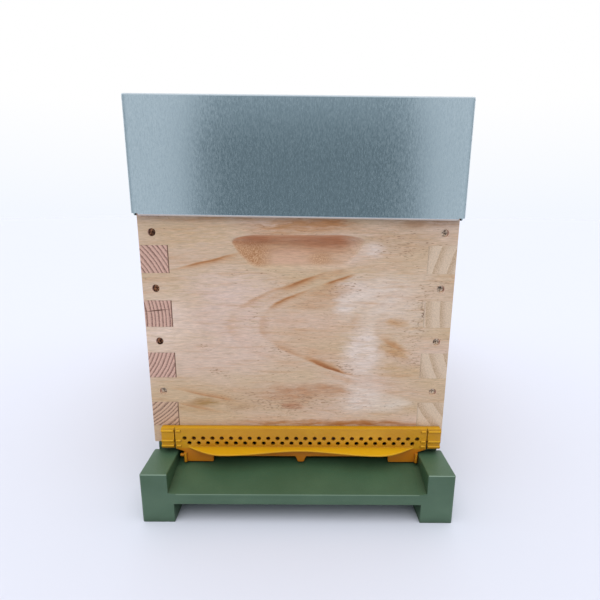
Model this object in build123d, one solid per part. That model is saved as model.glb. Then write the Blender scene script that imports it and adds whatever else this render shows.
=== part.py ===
from build123d import *
import math
import os

# A nucleus hive for six brood frames: moulded floor, finger-jointed pine box, castellated rests and
# frames inside it, crown board, and a telescopic roof of folded galvanised sheet.
#
# While modelling, x runs to the right seen from the front, y runs into the hive from the front face
# of the body, and z runs up from the ground. Every finished piece is moved along y at the end, so
# that the origin lies on the ground under the middle of the whole hive. All sizes are millimetres.

# Body
BODY_WIDTH = 285.0
BODY_HEIGHT = 310.0
WALL = 26.0
INSIDE_LENGTH = 450.0
BODY_LENGTH = INSIDE_LENGTH + 2 * WALL
BODY_BOTTOM = 57.5
BODY_TOP = BODY_BOTTOM + BODY_HEIGHT
BODY_SIDE = BODY_WIDTH / 2
INNER_SIDE = BODY_SIDE - WALL
FINGER = 25.3
BOTTOM_FINGER = 17.8
ARRIS_R = 0.8
BEE_SPACE = 6.0

# Clearance round nails, screws and rivets, and how far a cut runs past the face it starts from
FIT = 0.05
CUT = 1.0

# Corner screws
SCREW_EDGE = 12.3
SCREW_DROP = 1.3
SCREW_SINK = 3.2
SCREW_HEAD_R = 3.1
SCREW_HEAD_TAPER = 2.6
SCREW_SHANK_R = 1.8
SCREW_LENGTH = 48.0
SCREW_POINT = 5.0
SCREW_POINT_R = 0.3
RECESS_WIDTH = 0.9
RECESS_REACH = 1.9
RECESS_DEPTH = 1.6
POCKET_R = 3.5

# Handhold scooped into the front and back boards by a tapered cutter that runs along the board
SCOOP_TOP = 262.0
SCOOP_HEIGHT = 30.6
SCOOP_DEPTH = 6.8
SCOOP_BROW = 4.5
SCOOP_ROUND = 5.0
CUTTER_R = 48.0
CUTTER_RUN = 70.0

# Brood frames
FRAME_COUNT = 6
FRAME_PITCH = 38.0
FRAME_LENGTH = 435.0
FRAME_HEIGHT = 300.0
FRAME_WIDTH = 25.0
FRAME_TOP = BODY_TOP - BEE_SPACE
TOP_BAR_LENGTH = 470.0
TOP_BAR_THICK = 18.0
LUG_THICK = 10.0
LUG_WIDTH = 22.0
END_BAR_THICK = 10.0
BOTTOM_BAR_THICK = 10.0
FOUNDATION_THICK = 2.0
FOUNDATION_GAP = 3.0
FOUNDATION_END_GAP = 1.0
WIRE_R = 0.4
WIRE_COUNT = 4
NAIL_R = 0.8
NAIL_HEAD_R = 1.9
NAIL_HEAD_THICK = 0.7
NAIL_LENGTH = 22.0
NAIL_SPREAD = 13.0
FRAME_MIDDLE = BODY_LENGTH / 2

# Castellated rests and the rabbets they lie in
LUG_REST = FRAME_TOP - LUG_THICK
REST_STRIP = 4.0
RABBET_FLOOR = LUG_REST - REST_STRIP
RABBET_WIDTH = 11.5
REST_SHEET = 0.8
REST_GAP = 0.3
NOTCH_WIDTH = 23.0
REST_NAIL_COUNT = 4
REST_NAIL_LENGTH = 12.0

# Crown board and its feed hole
CROWN_THICK = 6.0
CROWN_INSET = 1.0
CROWN_TOP = BODY_TOP + CROWN_THICK
FEED_HOLE_R = 25.0
FEED_REBATE_R = 30.0
FEED_REBATE_DEPTH = 3.0
PLUG_GAP = 0.4
PLUG_DISH_R = 19.0
PLUG_FLOOR = 1.2
PLUG_GRIP = 5.0

# Roof
ROOF_WIDTH = 291.1
ROOF_BOTTOM = 276.4
ROOF_TOP = 374.2
SHEET = 0.6
ROOF_FRONT = -4.5
ROOF_BACK = BODY_LENGTH - ROOF_FRONT
ROOF_SIDE = ROOF_WIDTH / 2
BEND_R = 1.8
LAP = 22.0
LAP_DROP = 1.6
HEM_HEIGHT = 7.0
HEM_THICK = 1.5
HEM_FLARE = 0.15
HEM_END = 6.0
SKIRT_CUT = 3.5
RIVET_R = 1.6
RIVET_HEAD_R = 3.2
RIVET_HEAD_THICK = 1.2
RIVET_HEAD_ROUND = 0.95
RIVET_TAIL_R = 2.4
RIVET_TAIL_THICK = 0.5
RIVET_SETBACK = 12.0
RIVET_INSET = 24.0

# Moulded floor
FOOT_SIDE = 143.5
RAIL_INNER = 118.4
FOOT_INNER = 113.5
FOOT_SHELF = 27.0
RAIL_TOP = 49.2
FLOOR_FRONT = -40.6
FLOOR_BACK = BODY_LENGTH
DECK_TOP = 40.0
DECK_THICK = 5.0
DECK_BOTTOM = DECK_TOP - DECK_THICK
LIP_TOP = 29.0
LIP_BOTTOM = 19.0
LIP_WALL = 4.0
MOULD_WALL = 3.0
RISER_INSET = 3.6
RAIL_SIDE = BODY_SIDE - RISER_INSET
RISER_FRONT = 0.7
RISER_BACK_THICK = 18.0
RAMP_WIDTH = 6.8
RAMP_HEIGHT = 1.2
RAMP_BACK = -10.0
RAIL_CELLS = 11
OUTER_R = 2.0
TOP_R = 1.0
LIP_R = 0.9

# Grille in the floor and the inspection tray under it
GRILLE_HALF = 98.0
GRILLE_FRONT = 54.0
GRILLE_BACK = 466.0
GRILLE_THICK = 3.0
GRILLE_LEDGE = 6.0
GRILLE_GAP = 0.3
SLOT_WIDTH = 3.0
SLOT_LENGTH = 38.0
SLOT_PITCH_X = 6.2
SLOT_PITCH_Y = 43.0
SLOT_COLUMNS = 29
SLOT_ROWS = 9
GUIDE_WIDTH = 5.0
GUIDE_THICK = 2.5
GUIDE_FRONT = 30.0
TRAY_GAP = 0.8
TRAY_LIFT = 0.1
TRAY_FRONT = 40.0
TRAY_HEIGHT = 9.0
TRAY_WALL = 1.8
TRAY_FACE_TOP = 34.2
TRAY_GRIP_HALF = 22.0
TRAY_GRIP_DEPTH = 4.2
TRAY_GRIP_THICK = 3.0
TRAY_GRIP_LOW = 26.0
TRAY_GRIP_R = 3.4

# Entrance reducer, pushed in a little right of the middle
REDUCER_SHIFT = 3.0
REDUCER_HALF = 136.2
REDUCER_TOP = 75.9
REDUCER_FACE = -6.5
REDUCER_PLATE = 2.2
REDUCER_BODY_GAP = 0.5
LEDGE_THICK = 2.0
TAB_SLIT = 122.9
TAB_SLIT_TOP = 0.5
TAB_SLIT_LOW = 1.3
TAB_BOTTOM = 54.9
TAB_WALL = 2.0
RIB_HEIGHTS = (73.0, 62.6, 57.2)
RIB_R = 1.2
RIB_STUB_OUT = 121.6
RIB_STUB_IN = 117.2
CORNER_TOP = 54.0
CORNER_LOW = 51.0
SKIRT_HALF = 115.0
LEG_BOTTOM = 40.0
LEG_INNER = 86.2
ENTRANCE_TOP = 46.0
MIDDLE_LEG_TOP = 5.2
MIDDLE_LEG_LOW = 2.9
LEG_CORNER_R = 1.4
VENT_PITCH = 9.1
VENT_R = 2.05
VENT_ROWS = ((26, 65.2), (25, 60.0))
CANOPY_HALF = 111.0
CANOPY_BULGE_X = 74.5
CANOPY_BULGE = 12.1
CANOPY_MIDDLE = 5.7
CANOPY_ROOT = 56.4
CANOPY_THICK = 1.7
CANOPY_TILT = 7.0
CANOPY_END_SLOPE = 0.5
CANOPY_RIM_R = 0.7
PLATE_EDGE_R = 0.4
PEG_X = 113.5
PEG_R = 1.5
PEG_TOP = 50.2
PEG_LOW = 40.4
PIP_R = 1.5
PIP_HEIGHT = 46.6
PIP_REACH = 3.8

# The origin goes under the middle of the whole length
LENGTH_FRONT = FLOOR_FRONT
LENGTH_BACK = ROOF_BACK + HEM_FLARE
MIDDLE_Y = (LENGTH_FRONT + LENGTH_BACK) / 2

BOTH_SIDES = (-1, 1)


def block(x0, x1, y0, y1, z0, z1):
    """A box between two corners."""
    middle = Pos((x0 + x1) / 2, (y0 + y1) / 2, (z0 + z1) / 2)
    return middle * Box(abs(x1 - x0), y1 - y0, z1 - z0)


def along_y(points, y0, y1):
    """A prism of an x-z outline, from y0 to y1."""
    return extrude(Plane.XZ.offset(-y0) * Polygon(*points), amount=y1 - y0, dir=(0, 1, 0))


def along_x(points, x0, x1):
    """A prism of a y-z outline, from x0 to x1."""
    return extrude(Plane.YZ.offset(x0) * Polygon(*points), amount=x1 - x0, dir=(1, 0, 0))


def mirrored_x(shape):
    """The same piece on the other side of the hive's middle plane."""
    return mirror(shape, about=Plane.YZ)


def at_back(shape):
    """The same piece at the back of the body, turned to face backwards."""
    return mirror(shape, about=Plane.XZ.offset(-BODY_LENGTH / 2))


def rod_y(x, z, radius, y0, y1):
    """A round rod that runs into the hive."""
    return Pos(x, (y0 + y1) / 2, z) * Rot(90, 0, 0) * Cylinder(radius, y1 - y0)


def rod_x(y, z, radius, x0, x1):
    """A round rod that runs across the hive."""
    return Pos((x0 + x1) / 2, y, z) * Rot(0, 90, 0) * Cylinder(radius, abs(x1 - x0))


def rod_z(x, y, radius, z0, z1):
    """An upright round rod."""
    return Pos(x, y, (z0 + z1) / 2) * Cylinder(radius, z1 - z0)


def finger_levels():
    """Heights of the corner fingers from the bottom up. Even ones belong to the front and back."""
    edges = [BODY_BOTTOM, BODY_BOTTOM + BOTTOM_FINGER]
    while edges[-1] + FINGER < BODY_TOP:
        edges.append(edges[-1] + FINGER)
    edges.append(BODY_TOP)
    return list(zip(edges[:-1], edges[1:]))


def screw_places():
    """A screw in each full finger of the front board, at both corners."""
    full = finger_levels()[2:-1:2]
    heights = [(low + high) / 2 - SCREW_DROP for low, high in full]
    return [(side * (BODY_SIDE - SCREW_EDGE), z) for side in BOTH_SIDES for z in heights]


def screw(x, z):
    """A countersunk wood screw, its head sunk below the front face, with a cross recess."""
    head = Pos(x, SCREW_SINK + SCREW_HEAD_TAPER / 2, z) * Rot(90, 0, 0)
    head = head * Cone(SCREW_SHANK_R, SCREW_HEAD_R, SCREW_HEAD_TAPER)
    shank_end = SCREW_SINK + SCREW_LENGTH - SCREW_POINT
    shank = rod_y(x, z, SCREW_SHANK_R, SCREW_SINK + SCREW_HEAD_TAPER - FIT, shank_end)
    tip = Pos(x, shank_end + SCREW_POINT / 2, z) * Rot(90, 0, 0)
    tip = tip * Cone(SCREW_POINT_R, SCREW_SHANK_R, SCREW_POINT)
    reach = RECESS_REACH
    half = RECESS_WIDTH / 2
    recess_end = SCREW_SINK + RECESS_DEPTH
    recess = block(x - reach, x + reach, 0, recess_end, z - half, z + half)
    recess += block(x - half, x + half, 0, recess_end, z - reach, z + reach)
    return head + shank + tip - recess


def screw_pocket(x, z):
    """The hole that a screw sits in: a pocket for the head and a bore for the shank."""
    taper_end = SCREW_SINK + SCREW_HEAD_TAPER
    pocket = rod_y(x, z, POCKET_R, -CUT, SCREW_SINK + FIT)
    seat = rod_y(x, z, SCREW_HEAD_R + FIT, SCREW_SINK, taper_end + FIT)
    bore = rod_y(x, z, SCREW_SHANK_R + FIT, taper_end, SCREW_SINK + SCREW_LENGTH + CUT)
    return pocket + seat + bore


def handhold():
    """The scoop: deepest under its upper edge, running out to the face below and at both ends."""
    slope = SCOOP_DEPTH / (SCOOP_HEIGHT - SCOOP_BROW)
    low = SCOOP_TOP - SCOOP_HEIGHT - CUT
    high = SCOOP_TOP + CUT * SCOOP_BROW / SCOOP_DEPTH
    section = Polygon(
        (-CUTTER_R, low),
        (-CUT * slope, low),
        (SCOOP_DEPTH, SCOOP_TOP - SCOOP_BROW),
        (-CUT, high),
        (-CUTTER_R, high),
        align=None,
    )
    deepest = section.vertices().sort_by(Axis.X)[-1]
    section = fillet(deepest, SCOOP_ROUND)
    half = CUTTER_RUN / 2
    end = revolve(Plane.YZ * section, Axis((0, -CUTTER_R, 0), (0, 0, 1)))
    run = extrude(Plane.YZ.offset(-half) * section, amount=CUTTER_RUN, dir=(1, 0, 0))
    return run + Pos(-half, 0, 0) * end + Pos(half, 0, 0) * end


def outer_arrises(board):
    """The edges that a hand meets: along the body's corners, and round the foot of its outer faces."""
    sides = (-BODY_SIDE, BODY_SIDE)
    ends = (0, BODY_LENGTH)
    uprights = board.edges().filter_by(Axis.Z)
    corners = [e for e in uprights if is_near(e.center().X, sides) and is_near(e.center().Y, ends)]
    low = board.edges().group_by(Axis.Z)[0]
    feet = [e for e in low.filter_by(Axis.X) if is_near(e.center().Y, ends)]
    feet += [e for e in low.filter_by(Axis.Y) if is_near(e.center().X, sides)]
    return corners + feet


def is_near(value, places):
    """Whether a coordinate lies at one of the places."""
    return any(abs(value - place) < FIT for place in places)


def end_board():
    """The front board. The back board is the same, turned round."""
    board = block(-BODY_SIDE, BODY_SIDE, 0, WALL, BODY_BOTTOM, BODY_TOP)
    for low, high in finger_levels()[1::2]:
        for side in BOTH_SIDES:
            outside = side * (BODY_SIDE + CUT)
            board -= block(side * INNER_SIDE, outside, -CUT, WALL + CUT, low, high)
    board = fillet(outer_arrises(board), ARRIS_R)
    rabbet = WALL - RABBET_WIDTH
    board -= block(-INNER_SIDE, INNER_SIDE, rabbet, WALL + CUT, RABBET_FLOOR, BODY_TOP + CUT)
    board -= handhold()
    for x, z in screw_places():
        board -= screw_pocket(x, z)
    for nail in rest_nails():
        board -= nail["hole"]
    return board


def side_board():
    """The right side board, its fingers reaching through to the front and back faces."""
    board = block(INNER_SIDE, BODY_SIDE, 0, BODY_LENGTH, BODY_BOTTOM, BODY_TOP)
    for low, high in finger_levels()[0::2]:
        notch = block(INNER_SIDE - CUT, BODY_SIDE + CUT, -CUT, WALL, low, high)
        board -= notch
        board -= at_back(notch)
    board = fillet(outer_arrises(board), ARRIS_R)
    for x, z in screw_places():
        if x > 0:
            pocket = screw_pocket(x, z)
            board -= pocket
            board -= at_back(pocket)
    return board


def nail_z(x, y, top, length):
    """An upright nail driven from above, and the hole it sits in."""
    neck = top - NAIL_HEAD_THICK
    head = rod_z(x, y, NAIL_HEAD_R, neck, top)
    shank = rod_z(x, y, NAIL_R, top - length, neck)
    hole = rod_z(x, y, NAIL_HEAD_R + FIT, neck, top + CUT)
    hole += rod_z(x, y, NAIL_R + FIT, top - length - FIT, top)
    return {"nail": head + shank, "hole": hole}


def rest_nails():
    """Nails that hold the front rest down in its rabbet, one beside each pair of notches."""
    step = 2 * INNER_SIDE / REST_NAIL_COUNT
    y = WALL - RABBET_WIDTH / 2
    top = RABBET_FLOOR + REST_SHEET + NAIL_HEAD_THICK
    places = [(i - (REST_NAIL_COUNT - 1) / 2) * step for i in range(REST_NAIL_COUNT)]
    return [nail_z(x, y, top, REST_NAIL_LENGTH) for x in places]


def frame_rest():
    """The front castellated rest: a flange on the rabbet's floor and an upright, notched strip."""
    half = INNER_SIDE - REST_GAP
    back = WALL - RABBET_WIDTH + REST_GAP
    front = WALL - REST_GAP
    rest = block(-half, half, back, front, RABBET_FLOOR, RABBET_FLOOR + REST_SHEET)
    rest += block(-half, half, front - REST_SHEET, front, RABBET_FLOOR, FRAME_TOP)
    for x in frame_places():
        notch = NOTCH_WIDTH / 2
        rest -= block(x - notch, x + notch, back, front + CUT, LUG_REST, FRAME_TOP + CUT)
    for nail in rest_nails():
        rest -= nail["hole"]
    return rest


def frame_places():
    """Middle planes of the frames, from left to right."""
    return [(i - (FRAME_COUNT - 1) / 2) * FRAME_PITCH for i in range(FRAME_COUNT)]


def frame_nails(x):
    """Nails through the top bar into the end bars, and through the end bars into the bottom bar."""
    nails = []
    for end in BOTH_SIDES:
        y = FRAME_MIDDLE + end * (FRAME_LENGTH - END_BAR_THICK) / 2
        for side in BOTH_SIDES:
            nails.append(nail_z(x + side * NAIL_SPREAD / 2, y, FRAME_TOP, NAIL_LENGTH))
    z = FRAME_TOP - FRAME_HEIGHT + BOTTOM_BAR_THICK / 2
    for end in BOTH_SIDES:
        face = FRAME_MIDDLE + end * FRAME_LENGTH / 2
        neck = face - end * NAIL_HEAD_THICK
        tip = face - end * NAIL_LENGTH
        outside = face + end * CUT
        hole_end = tip - end * FIT
        for side in BOTH_SIDES:
            nail_x = x + side * NAIL_SPREAD / 2
            head = rod_y(nail_x, z, NAIL_HEAD_R, *sorted((face, neck)))
            shank = rod_y(nail_x, z, NAIL_R, *sorted((tip, neck)))
            hole = rod_y(nail_x, z, NAIL_HEAD_R + FIT, *sorted((outside, neck)))
            hole += rod_y(nail_x, z, NAIL_R + FIT, *sorted((hole_end, face)))
            nails.append({"nail": head + shank, "hole": hole})
    return nails


def brood_frame(x):
    """One brood frame on the middle plane x, as its separate pieces."""
    half = FRAME_WIDTH / 2
    lug = LUG_WIDTH / 2
    bottom = FRAME_TOP - FRAME_HEIGHT
    front = FRAME_MIDDLE - FRAME_LENGTH / 2
    back = FRAME_MIDDLE + FRAME_LENGTH / 2
    inner_front = front + END_BAR_THICK
    inner_back = back - END_BAR_THICK
    bar_bottom = FRAME_TOP - TOP_BAR_THICK
    lug_front = FRAME_MIDDLE - TOP_BAR_LENGTH / 2
    lug_back = FRAME_MIDDLE + TOP_BAR_LENGTH / 2
    top_bar = block(x - half, x + half, front, back, LUG_REST, FRAME_TOP)
    top_bar += block(x - half, x + half, inner_front, inner_back, bar_bottom, FRAME_TOP)
    top_bar += block(x - lug, x + lug, lug_front, lug_back, LUG_REST, FRAME_TOP)
    end_bar = block(x - half, x + half, front, inner_front, bottom, LUG_REST)
    end_bars = [end_bar, at_back(end_bar)]
    bottom_bar = block(x - half, x + half, inner_front, inner_back, bottom, bottom + BOTTOM_BAR_THICK)
    wax = FOUNDATION_THICK / 2
    sheet_bottom = bottom + BOTTOM_BAR_THICK + FOUNDATION_GAP
    sheet_front = inner_front + FOUNDATION_END_GAP
    sheet_back = inner_back - FOUNDATION_END_GAP
    foundation = block(x - wax, x + wax, sheet_front, sheet_back, sheet_bottom, bar_bottom)
    wire_x = x + wax + WIRE_R + FIT
    step = (bar_bottom - sheet_bottom) / (WIRE_COUNT + 1)
    heights = [sheet_bottom + (i + 1) * step for i in range(WIRE_COUNT)]
    wires = [rod_y(wire_x, z, WIRE_R, inner_front, inner_back) for z in heights]
    nails = frame_nails(x)
    for nail in nails:
        top_bar -= nail["hole"]
        bottom_bar -= nail["hole"]
        end_bars = [bar - nail["hole"] for bar in end_bars]
    return {
        "top_bar": [top_bar],
        "end_bars": end_bars,
        "bottom_bar": [bottom_bar],
        "foundation": [foundation],
        "wires": wires,
        "nails": [nail["nail"] for nail in nails],
    }


def crown_board():
    """A plywood sheet on the body's rim, with a rebated feed hole in its middle."""
    side = BODY_SIDE - CROWN_INSET
    middle = BODY_LENGTH / 2
    rebate = CROWN_TOP - FEED_REBATE_DEPTH
    board = block(-side, side, CROWN_INSET, BODY_LENGTH - CROWN_INSET, BODY_TOP, CROWN_TOP)
    board -= rod_z(0, middle, FEED_HOLE_R, BODY_TOP - CUT, CROWN_TOP + CUT)
    board -= rod_z(0, middle, FEED_REBATE_R, rebate, CROWN_TOP + CUT)
    return board


def feed_hole_plug():
    """A stepped plug, flush with the crown board, with a finger bar across its dished top."""
    y = BODY_LENGTH / 2
    seat = CROWN_TOP - FEED_REBATE_DEPTH
    plug = rod_z(0, y, FEED_REBATE_R - PLUG_GAP, seat, CROWN_TOP)
    plug += rod_z(0, y, FEED_HOLE_R - PLUG_GAP, BODY_TOP, seat)
    dish = rod_z(0, y, PLUG_DISH_R, BODY_TOP + PLUG_FLOOR, CROWN_TOP + CUT)
    grip = PLUG_GRIP / 2
    dish -= block(-PLUG_DISH_R, PLUG_DISH_R, y - grip, y + grip, BODY_TOP, CROWN_TOP + 2 * CUT)
    return plug - dish


def hem_outline():
    """Section of the folded hem, seen along the edge: first across from the outside, then up."""
    radius = HEM_THICK / 2
    straight = Polygon(
        (-HEM_FLARE, radius),
        (0, HEM_HEIGHT),
        (HEM_THICK, HEM_HEIGHT),
        (HEM_THICK - HEM_FLARE, radius),
    )
    fold = Pos(radius - HEM_FLARE, radius) * Circle(radius)
    return straight + fold


def hem_strip(length):
    """A hem lying along x, its outer face towards -y, from the lower edge up."""
    return extrude(Plane.YZ.offset(-length / 2) * hem_outline(), amount=length, dir=(1, 0, 0))


def rivet_places():
    """Middle of each rivet on the right side, as y and z."""
    heights = (ROOF_BOTTOM + RIVET_INSET, ROOF_TOP - RIVET_INSET)
    depths = (ROOF_FRONT + RIVET_SETBACK, ROOF_BACK - RIVET_SETBACK)
    return [(y, z) for y in depths for z in heights]


def roof_sheet():
    """The roof: top and side panels, front and back panels lapped round the corners, and hems."""
    side = ROOF_SIDE - SHEET
    inner_side = side - SHEET
    low = ROOF_BOTTOM + SKIRT_CUT
    front = ROOF_FRONT + SHEET
    back = ROOF_BACK - SHEET
    shell = block(-side, side, ROOF_FRONT, ROOF_BACK, low, ROOF_TOP)
    top_edges = shell.faces().sort_by(Axis.Z)[-1].edges()
    shell = fillet(top_edges, BEND_R)
    inner = block(-inner_side, inner_side, front, back, low - CUT, ROOF_TOP - SHEET)
    inner_edges = inner.faces().sort_by(Axis.Z)[-1].edges()
    shell -= fillet(inner_edges, BEND_R - SHEET)
    lap_top = ROOF_TOP - LAP_DROP
    wrap = block(-ROOF_SIDE, ROOF_SIDE, ROOF_FRONT, ROOF_FRONT + LAP, low, lap_top)
    corners = wrap.edges().filter_by(Axis.Z).group_by(Axis.Y)[0]
    wrap = fillet(corners, BEND_R)
    hollow = block(-side, side, front, ROOF_FRONT + LAP + CUT, low - CUT, lap_top + CUT)
    hollow_corners = hollow.edges().filter_by(Axis.Z).group_by(Axis.Y)[0]
    wrap -= fillet(hollow_corners, BEND_R - SHEET)
    roof = shell + wrap + at_back(wrap)
    front_hem = Pos(0, ROOF_FRONT, ROOF_BOTTOM) * hem_strip(2 * (ROOF_SIDE - HEM_END))
    length = ROOF_BACK - ROOF_FRONT - 2 * HEM_END
    side_hem = Pos(side, FRAME_MIDDLE, ROOF_BOTTOM) * Rot(0, 0, 90) * hem_strip(length)
    roof += front_hem
    roof += at_back(front_hem)
    roof += side_hem
    roof += mirrored_x(side_hem)
    for y, z in rivet_places():
        hole = rod_x(y, z, RIVET_R + FIT, inner_side - CUT, ROOF_SIDE + CUT)
        roof -= hole
        roof -= mirrored_x(hole)
    return roof


def rivet(y, z):
    """A blind rivet through a corner lap on the right side, with a low domed head."""
    head = rod_x(y, z, RIVET_HEAD_R, ROOF_SIDE, ROOF_SIDE + RIVET_HEAD_THICK)
    rim = head.edges().group_by(Axis.X)[-1]
    head = fillet(rim, RIVET_HEAD_ROUND)
    inside = ROOF_SIDE - 2 * SHEET
    shank = rod_x(y, z, RIVET_R, inside, ROOF_SIDE)
    tail = rod_x(y, z, RIVET_TAIL_R, inside - RIVET_TAIL_THICK, inside)
    return head + shank + tail


def rail_section(side, shelf, skin):
    """Corners of a rail's section out to its side, or of its hollow, one skin thickness inside them."""
    low = -CUT if skin else 0
    return [
        (FOOT_INNER + skin, low),
        (side - skin, low),
        (side - skin, RAIL_TOP - skin),
        (RAIL_INNER + skin, RAIL_TOP - skin),
        (RAIL_INNER + skin, shelf - skin),
        (FOOT_INNER + skin, shelf - skin),
    ]


def front_foot():
    """The right front foot, wider than the rail behind it and hollow from below."""
    foot = along_y(rail_section(FOOT_SIDE, FOOT_SHELF, 0), FLOOR_FRONT, RISER_FRONT)
    outer = foot.edges().filter_by(Axis.Z).group_by(Axis.X)[-1]
    foot = fillet(outer, OUTER_R)
    top = foot.faces().sort_by(Axis.Z)[-1].edges()
    foot = fillet(top, TOP_R)
    hollow = rail_section(FOOT_SIDE, FOOT_SHELF, MOULD_WALL)
    return foot - along_y(hollow, FLOOR_FRONT + MOULD_WALL, RISER_FRONT - MOULD_WALL)


def floor_rail():
    """The right rail behind its foot, hollow from below, and the riser that carries the body."""
    rail = along_y(rail_section(RAIL_SIDE, DECK_BOTTOM, 0), RISER_FRONT, FLOOR_BACK)
    outer = rail.edges().filter_by(Axis.Z).group_by(Axis.X)[-1]
    rail = fillet(outer.sort_by(Axis.Y)[-1], OUTER_R)
    hollow = rail_section(RAIL_SIDE, DECK_BOTTOM, MOULD_WALL)
    step = (FLOOR_BACK - RISER_FRONT) / RAIL_CELLS
    for i in range(RAIL_CELLS):
        start = RISER_FRONT + i * step
        rail -= along_y(hollow, start, start + step - MOULD_WALL)
    riser = block(
        RAIL_INNER,
        RAIL_SIDE,
        RISER_FRONT,
        BODY_LENGTH - RISER_INSET,
        RAIL_TOP - CUT,
        BODY_BOTTOM,
    )
    guide = block(
        FOOT_INNER - GUIDE_WIDTH,
        FOOT_INNER + CUT,
        GUIDE_FRONT,
        FLOOR_BACK,
        LIP_BOTTOM,
        LIP_BOTTOM + GUIDE_THICK,
    )
    return front_foot() + rail + riser + guide


def landing_ramp():
    """A low ramp along the foot of the right rail's inner wall, following the landing board's slope."""
    foot = Plane.XZ.offset(-FLOOR_FRONT) * Polygon(
        (RAIL_INNER - RAMP_WIDTH, LIP_TOP - CUT),
        (RAIL_INNER + CUT, LIP_TOP - CUT),
        (RAIL_INNER + CUT, LIP_TOP + RAMP_HEIGHT),
        (RAIL_INNER, LIP_TOP + RAMP_HEIGHT),
        (RAIL_INNER - RAMP_WIDTH, LIP_TOP),
    )
    run = RAMP_BACK - FLOOR_FRONT
    rise = run * (DECK_TOP - LIP_TOP) / -FLOOR_FRONT
    return extrude(foot, amount=math.hypot(run, rise), dir=(0, run, rise))


def floor_tray():
    """The moulded floor: rails, deck with the grille's seat, sloping landing board and back riser."""
    rail = floor_rail()
    reach = RAIL_INNER + CUT
    deck = block(-reach, reach, 0, BODY_LENGTH - RISER_INSET, DECK_BOTTOM, DECK_TOP)
    deck -= block(
        -GRILLE_HALF,
        GRILLE_HALF,
        GRILLE_FRONT,
        GRILLE_BACK,
        DECK_TOP - GRILLE_THICK,
        DECK_TOP + CUT,
    )
    deck -= block(
        -GRILLE_HALF + GRILLE_LEDGE,
        GRILLE_HALF - GRILLE_LEDGE,
        GRILLE_FRONT + GRILLE_LEDGE,
        GRILLE_BACK - GRILLE_LEDGE,
        DECK_BOTTOM - CUT,
        DECK_TOP + CUT,
    )
    slope = (DECK_TOP - LIP_TOP) / -FLOOR_FRONT
    inner = FLOOR_FRONT + LIP_WALL
    landing = along_x(
        [
            (FLOOR_FRONT, LIP_BOTTOM),
            (inner, LIP_BOTTOM),
            (inner, LIP_TOP + slope * LIP_WALL - LIP_WALL),
            (0, DECK_BOTTOM),
            (CUT, DECK_BOTTOM),
            (CUT, DECK_TOP),
            (0, DECK_TOP),
            (FLOOR_FRONT, LIP_TOP),
        ],
        -reach,
        reach,
    )
    front_edges = landing.edges().filter_by(Axis.X).group_by(Axis.Y)[0]
    landing = fillet(front_edges.sort_by(Axis.Z)[-1], LIP_R)
    back_low = BODY_LENGTH - RISER_INSET - RISER_BACK_THICK
    back = block(-reach, reach, back_low, BODY_LENGTH - RISER_INSET, DECK_BOTTOM, BODY_BOTTOM)
    ramp = landing_ramp()
    tray = deck + landing + back
    tray += rail + mirrored_x(rail)
    tray += ramp + mirrored_x(ramp)
    return tray


def floor_grille():
    """A slotted plate that drops into the deck."""
    half = GRILLE_HALF - GRILLE_GAP
    length = GRILLE_BACK - GRILLE_FRONT - 2 * GRILLE_GAP
    plate = Rectangle(2 * half, length)
    slot = SlotOverall(SLOT_LENGTH, SLOT_WIDTH, rotation=90)
    slots = GridLocations(SLOT_PITCH_X, SLOT_PITCH_Y, SLOT_COLUMNS, SLOT_ROWS)
    plate -= [place * slot for place in slots]
    middle = (GRILLE_FRONT + GRILLE_BACK) / 2
    seat = Plane.XY.offset(DECK_TOP - GRILLE_THICK) * Pos(0, middle)
    return extrude(seat * plate, amount=GRILLE_THICK, dir=(0, 0, 1))


def inspection_tray():
    """A shallow tray that slides out at the back, with a face plate and a finger grip."""
    half = FOOT_INNER - TRAY_GAP
    low = LIP_BOTTOM + GUIDE_THICK + TRAY_LIFT
    back = FLOOR_BACK - TRAY_WALL
    tray = block(-half, half, TRAY_FRONT, back, low, low + TRAY_HEIGHT)
    tray -= block(
        -half + TRAY_WALL,
        half - TRAY_WALL,
        TRAY_FRONT + TRAY_WALL,
        back - TRAY_WALL,
        low + TRAY_WALL,
        low + TRAY_HEIGHT + CUT,
    )
    tray += block(-half, half, back, FLOOR_BACK, low, TRAY_FACE_TOP)
    grip = block(
        -TRAY_GRIP_HALF,
        TRAY_GRIP_HALF,
        FLOOR_BACK,
        FLOOR_BACK + TRAY_GRIP_DEPTH,
        TRAY_GRIP_LOW,
        TRAY_GRIP_LOW + TRAY_GRIP_THICK,
    )
    grip_corners = grip.edges().filter_by(Axis.Z).group_by(Axis.Y)[-1]
    return tray + fillet(grip_corners, TRAY_GRIP_R)


def reducer_plate():
    """The flat front of the reducer between its end tabs, down to the three legs."""
    outline = Polygon(
        (-TAB_SLIT, REDUCER_TOP),
        (-TAB_SLIT, CORNER_TOP),
        (-SKIRT_HALF, CORNER_LOW),
        (-SKIRT_HALF, LEG_BOTTOM),
        (-LEG_INNER, LEG_BOTTOM),
        (-LEG_INNER, ENTRANCE_TOP),
        (-MIDDLE_LEG_TOP, ENTRANCE_TOP),
        (-MIDDLE_LEG_LOW, LEG_BOTTOM),
        (MIDDLE_LEG_LOW, LEG_BOTTOM),
        (MIDDLE_LEG_TOP, ENTRANCE_TOP),
        (LEG_INNER, ENTRANCE_TOP),
        (LEG_INNER, LEG_BOTTOM),
        (SKIRT_HALF, LEG_BOTTOM),
        (SKIRT_HALF, CORNER_LOW),
        (TAB_SLIT, CORNER_TOP),
        (TAB_SLIT, REDUCER_TOP),
    )
    low = [corner for corner in outline.vertices() if corner.Y < ENTRANCE_TOP + CUT]
    outline = fillet(low, LEG_CORNER_R)
    plate = extrude(Plane.XZ.offset(-REDUCER_FACE) * outline, amount=REDUCER_PLATE, dir=(0, 1, 0))
    return fillet(plate.faces().sort_by(Axis.Y)[0].edges(), PLATE_EDGE_R)


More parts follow.
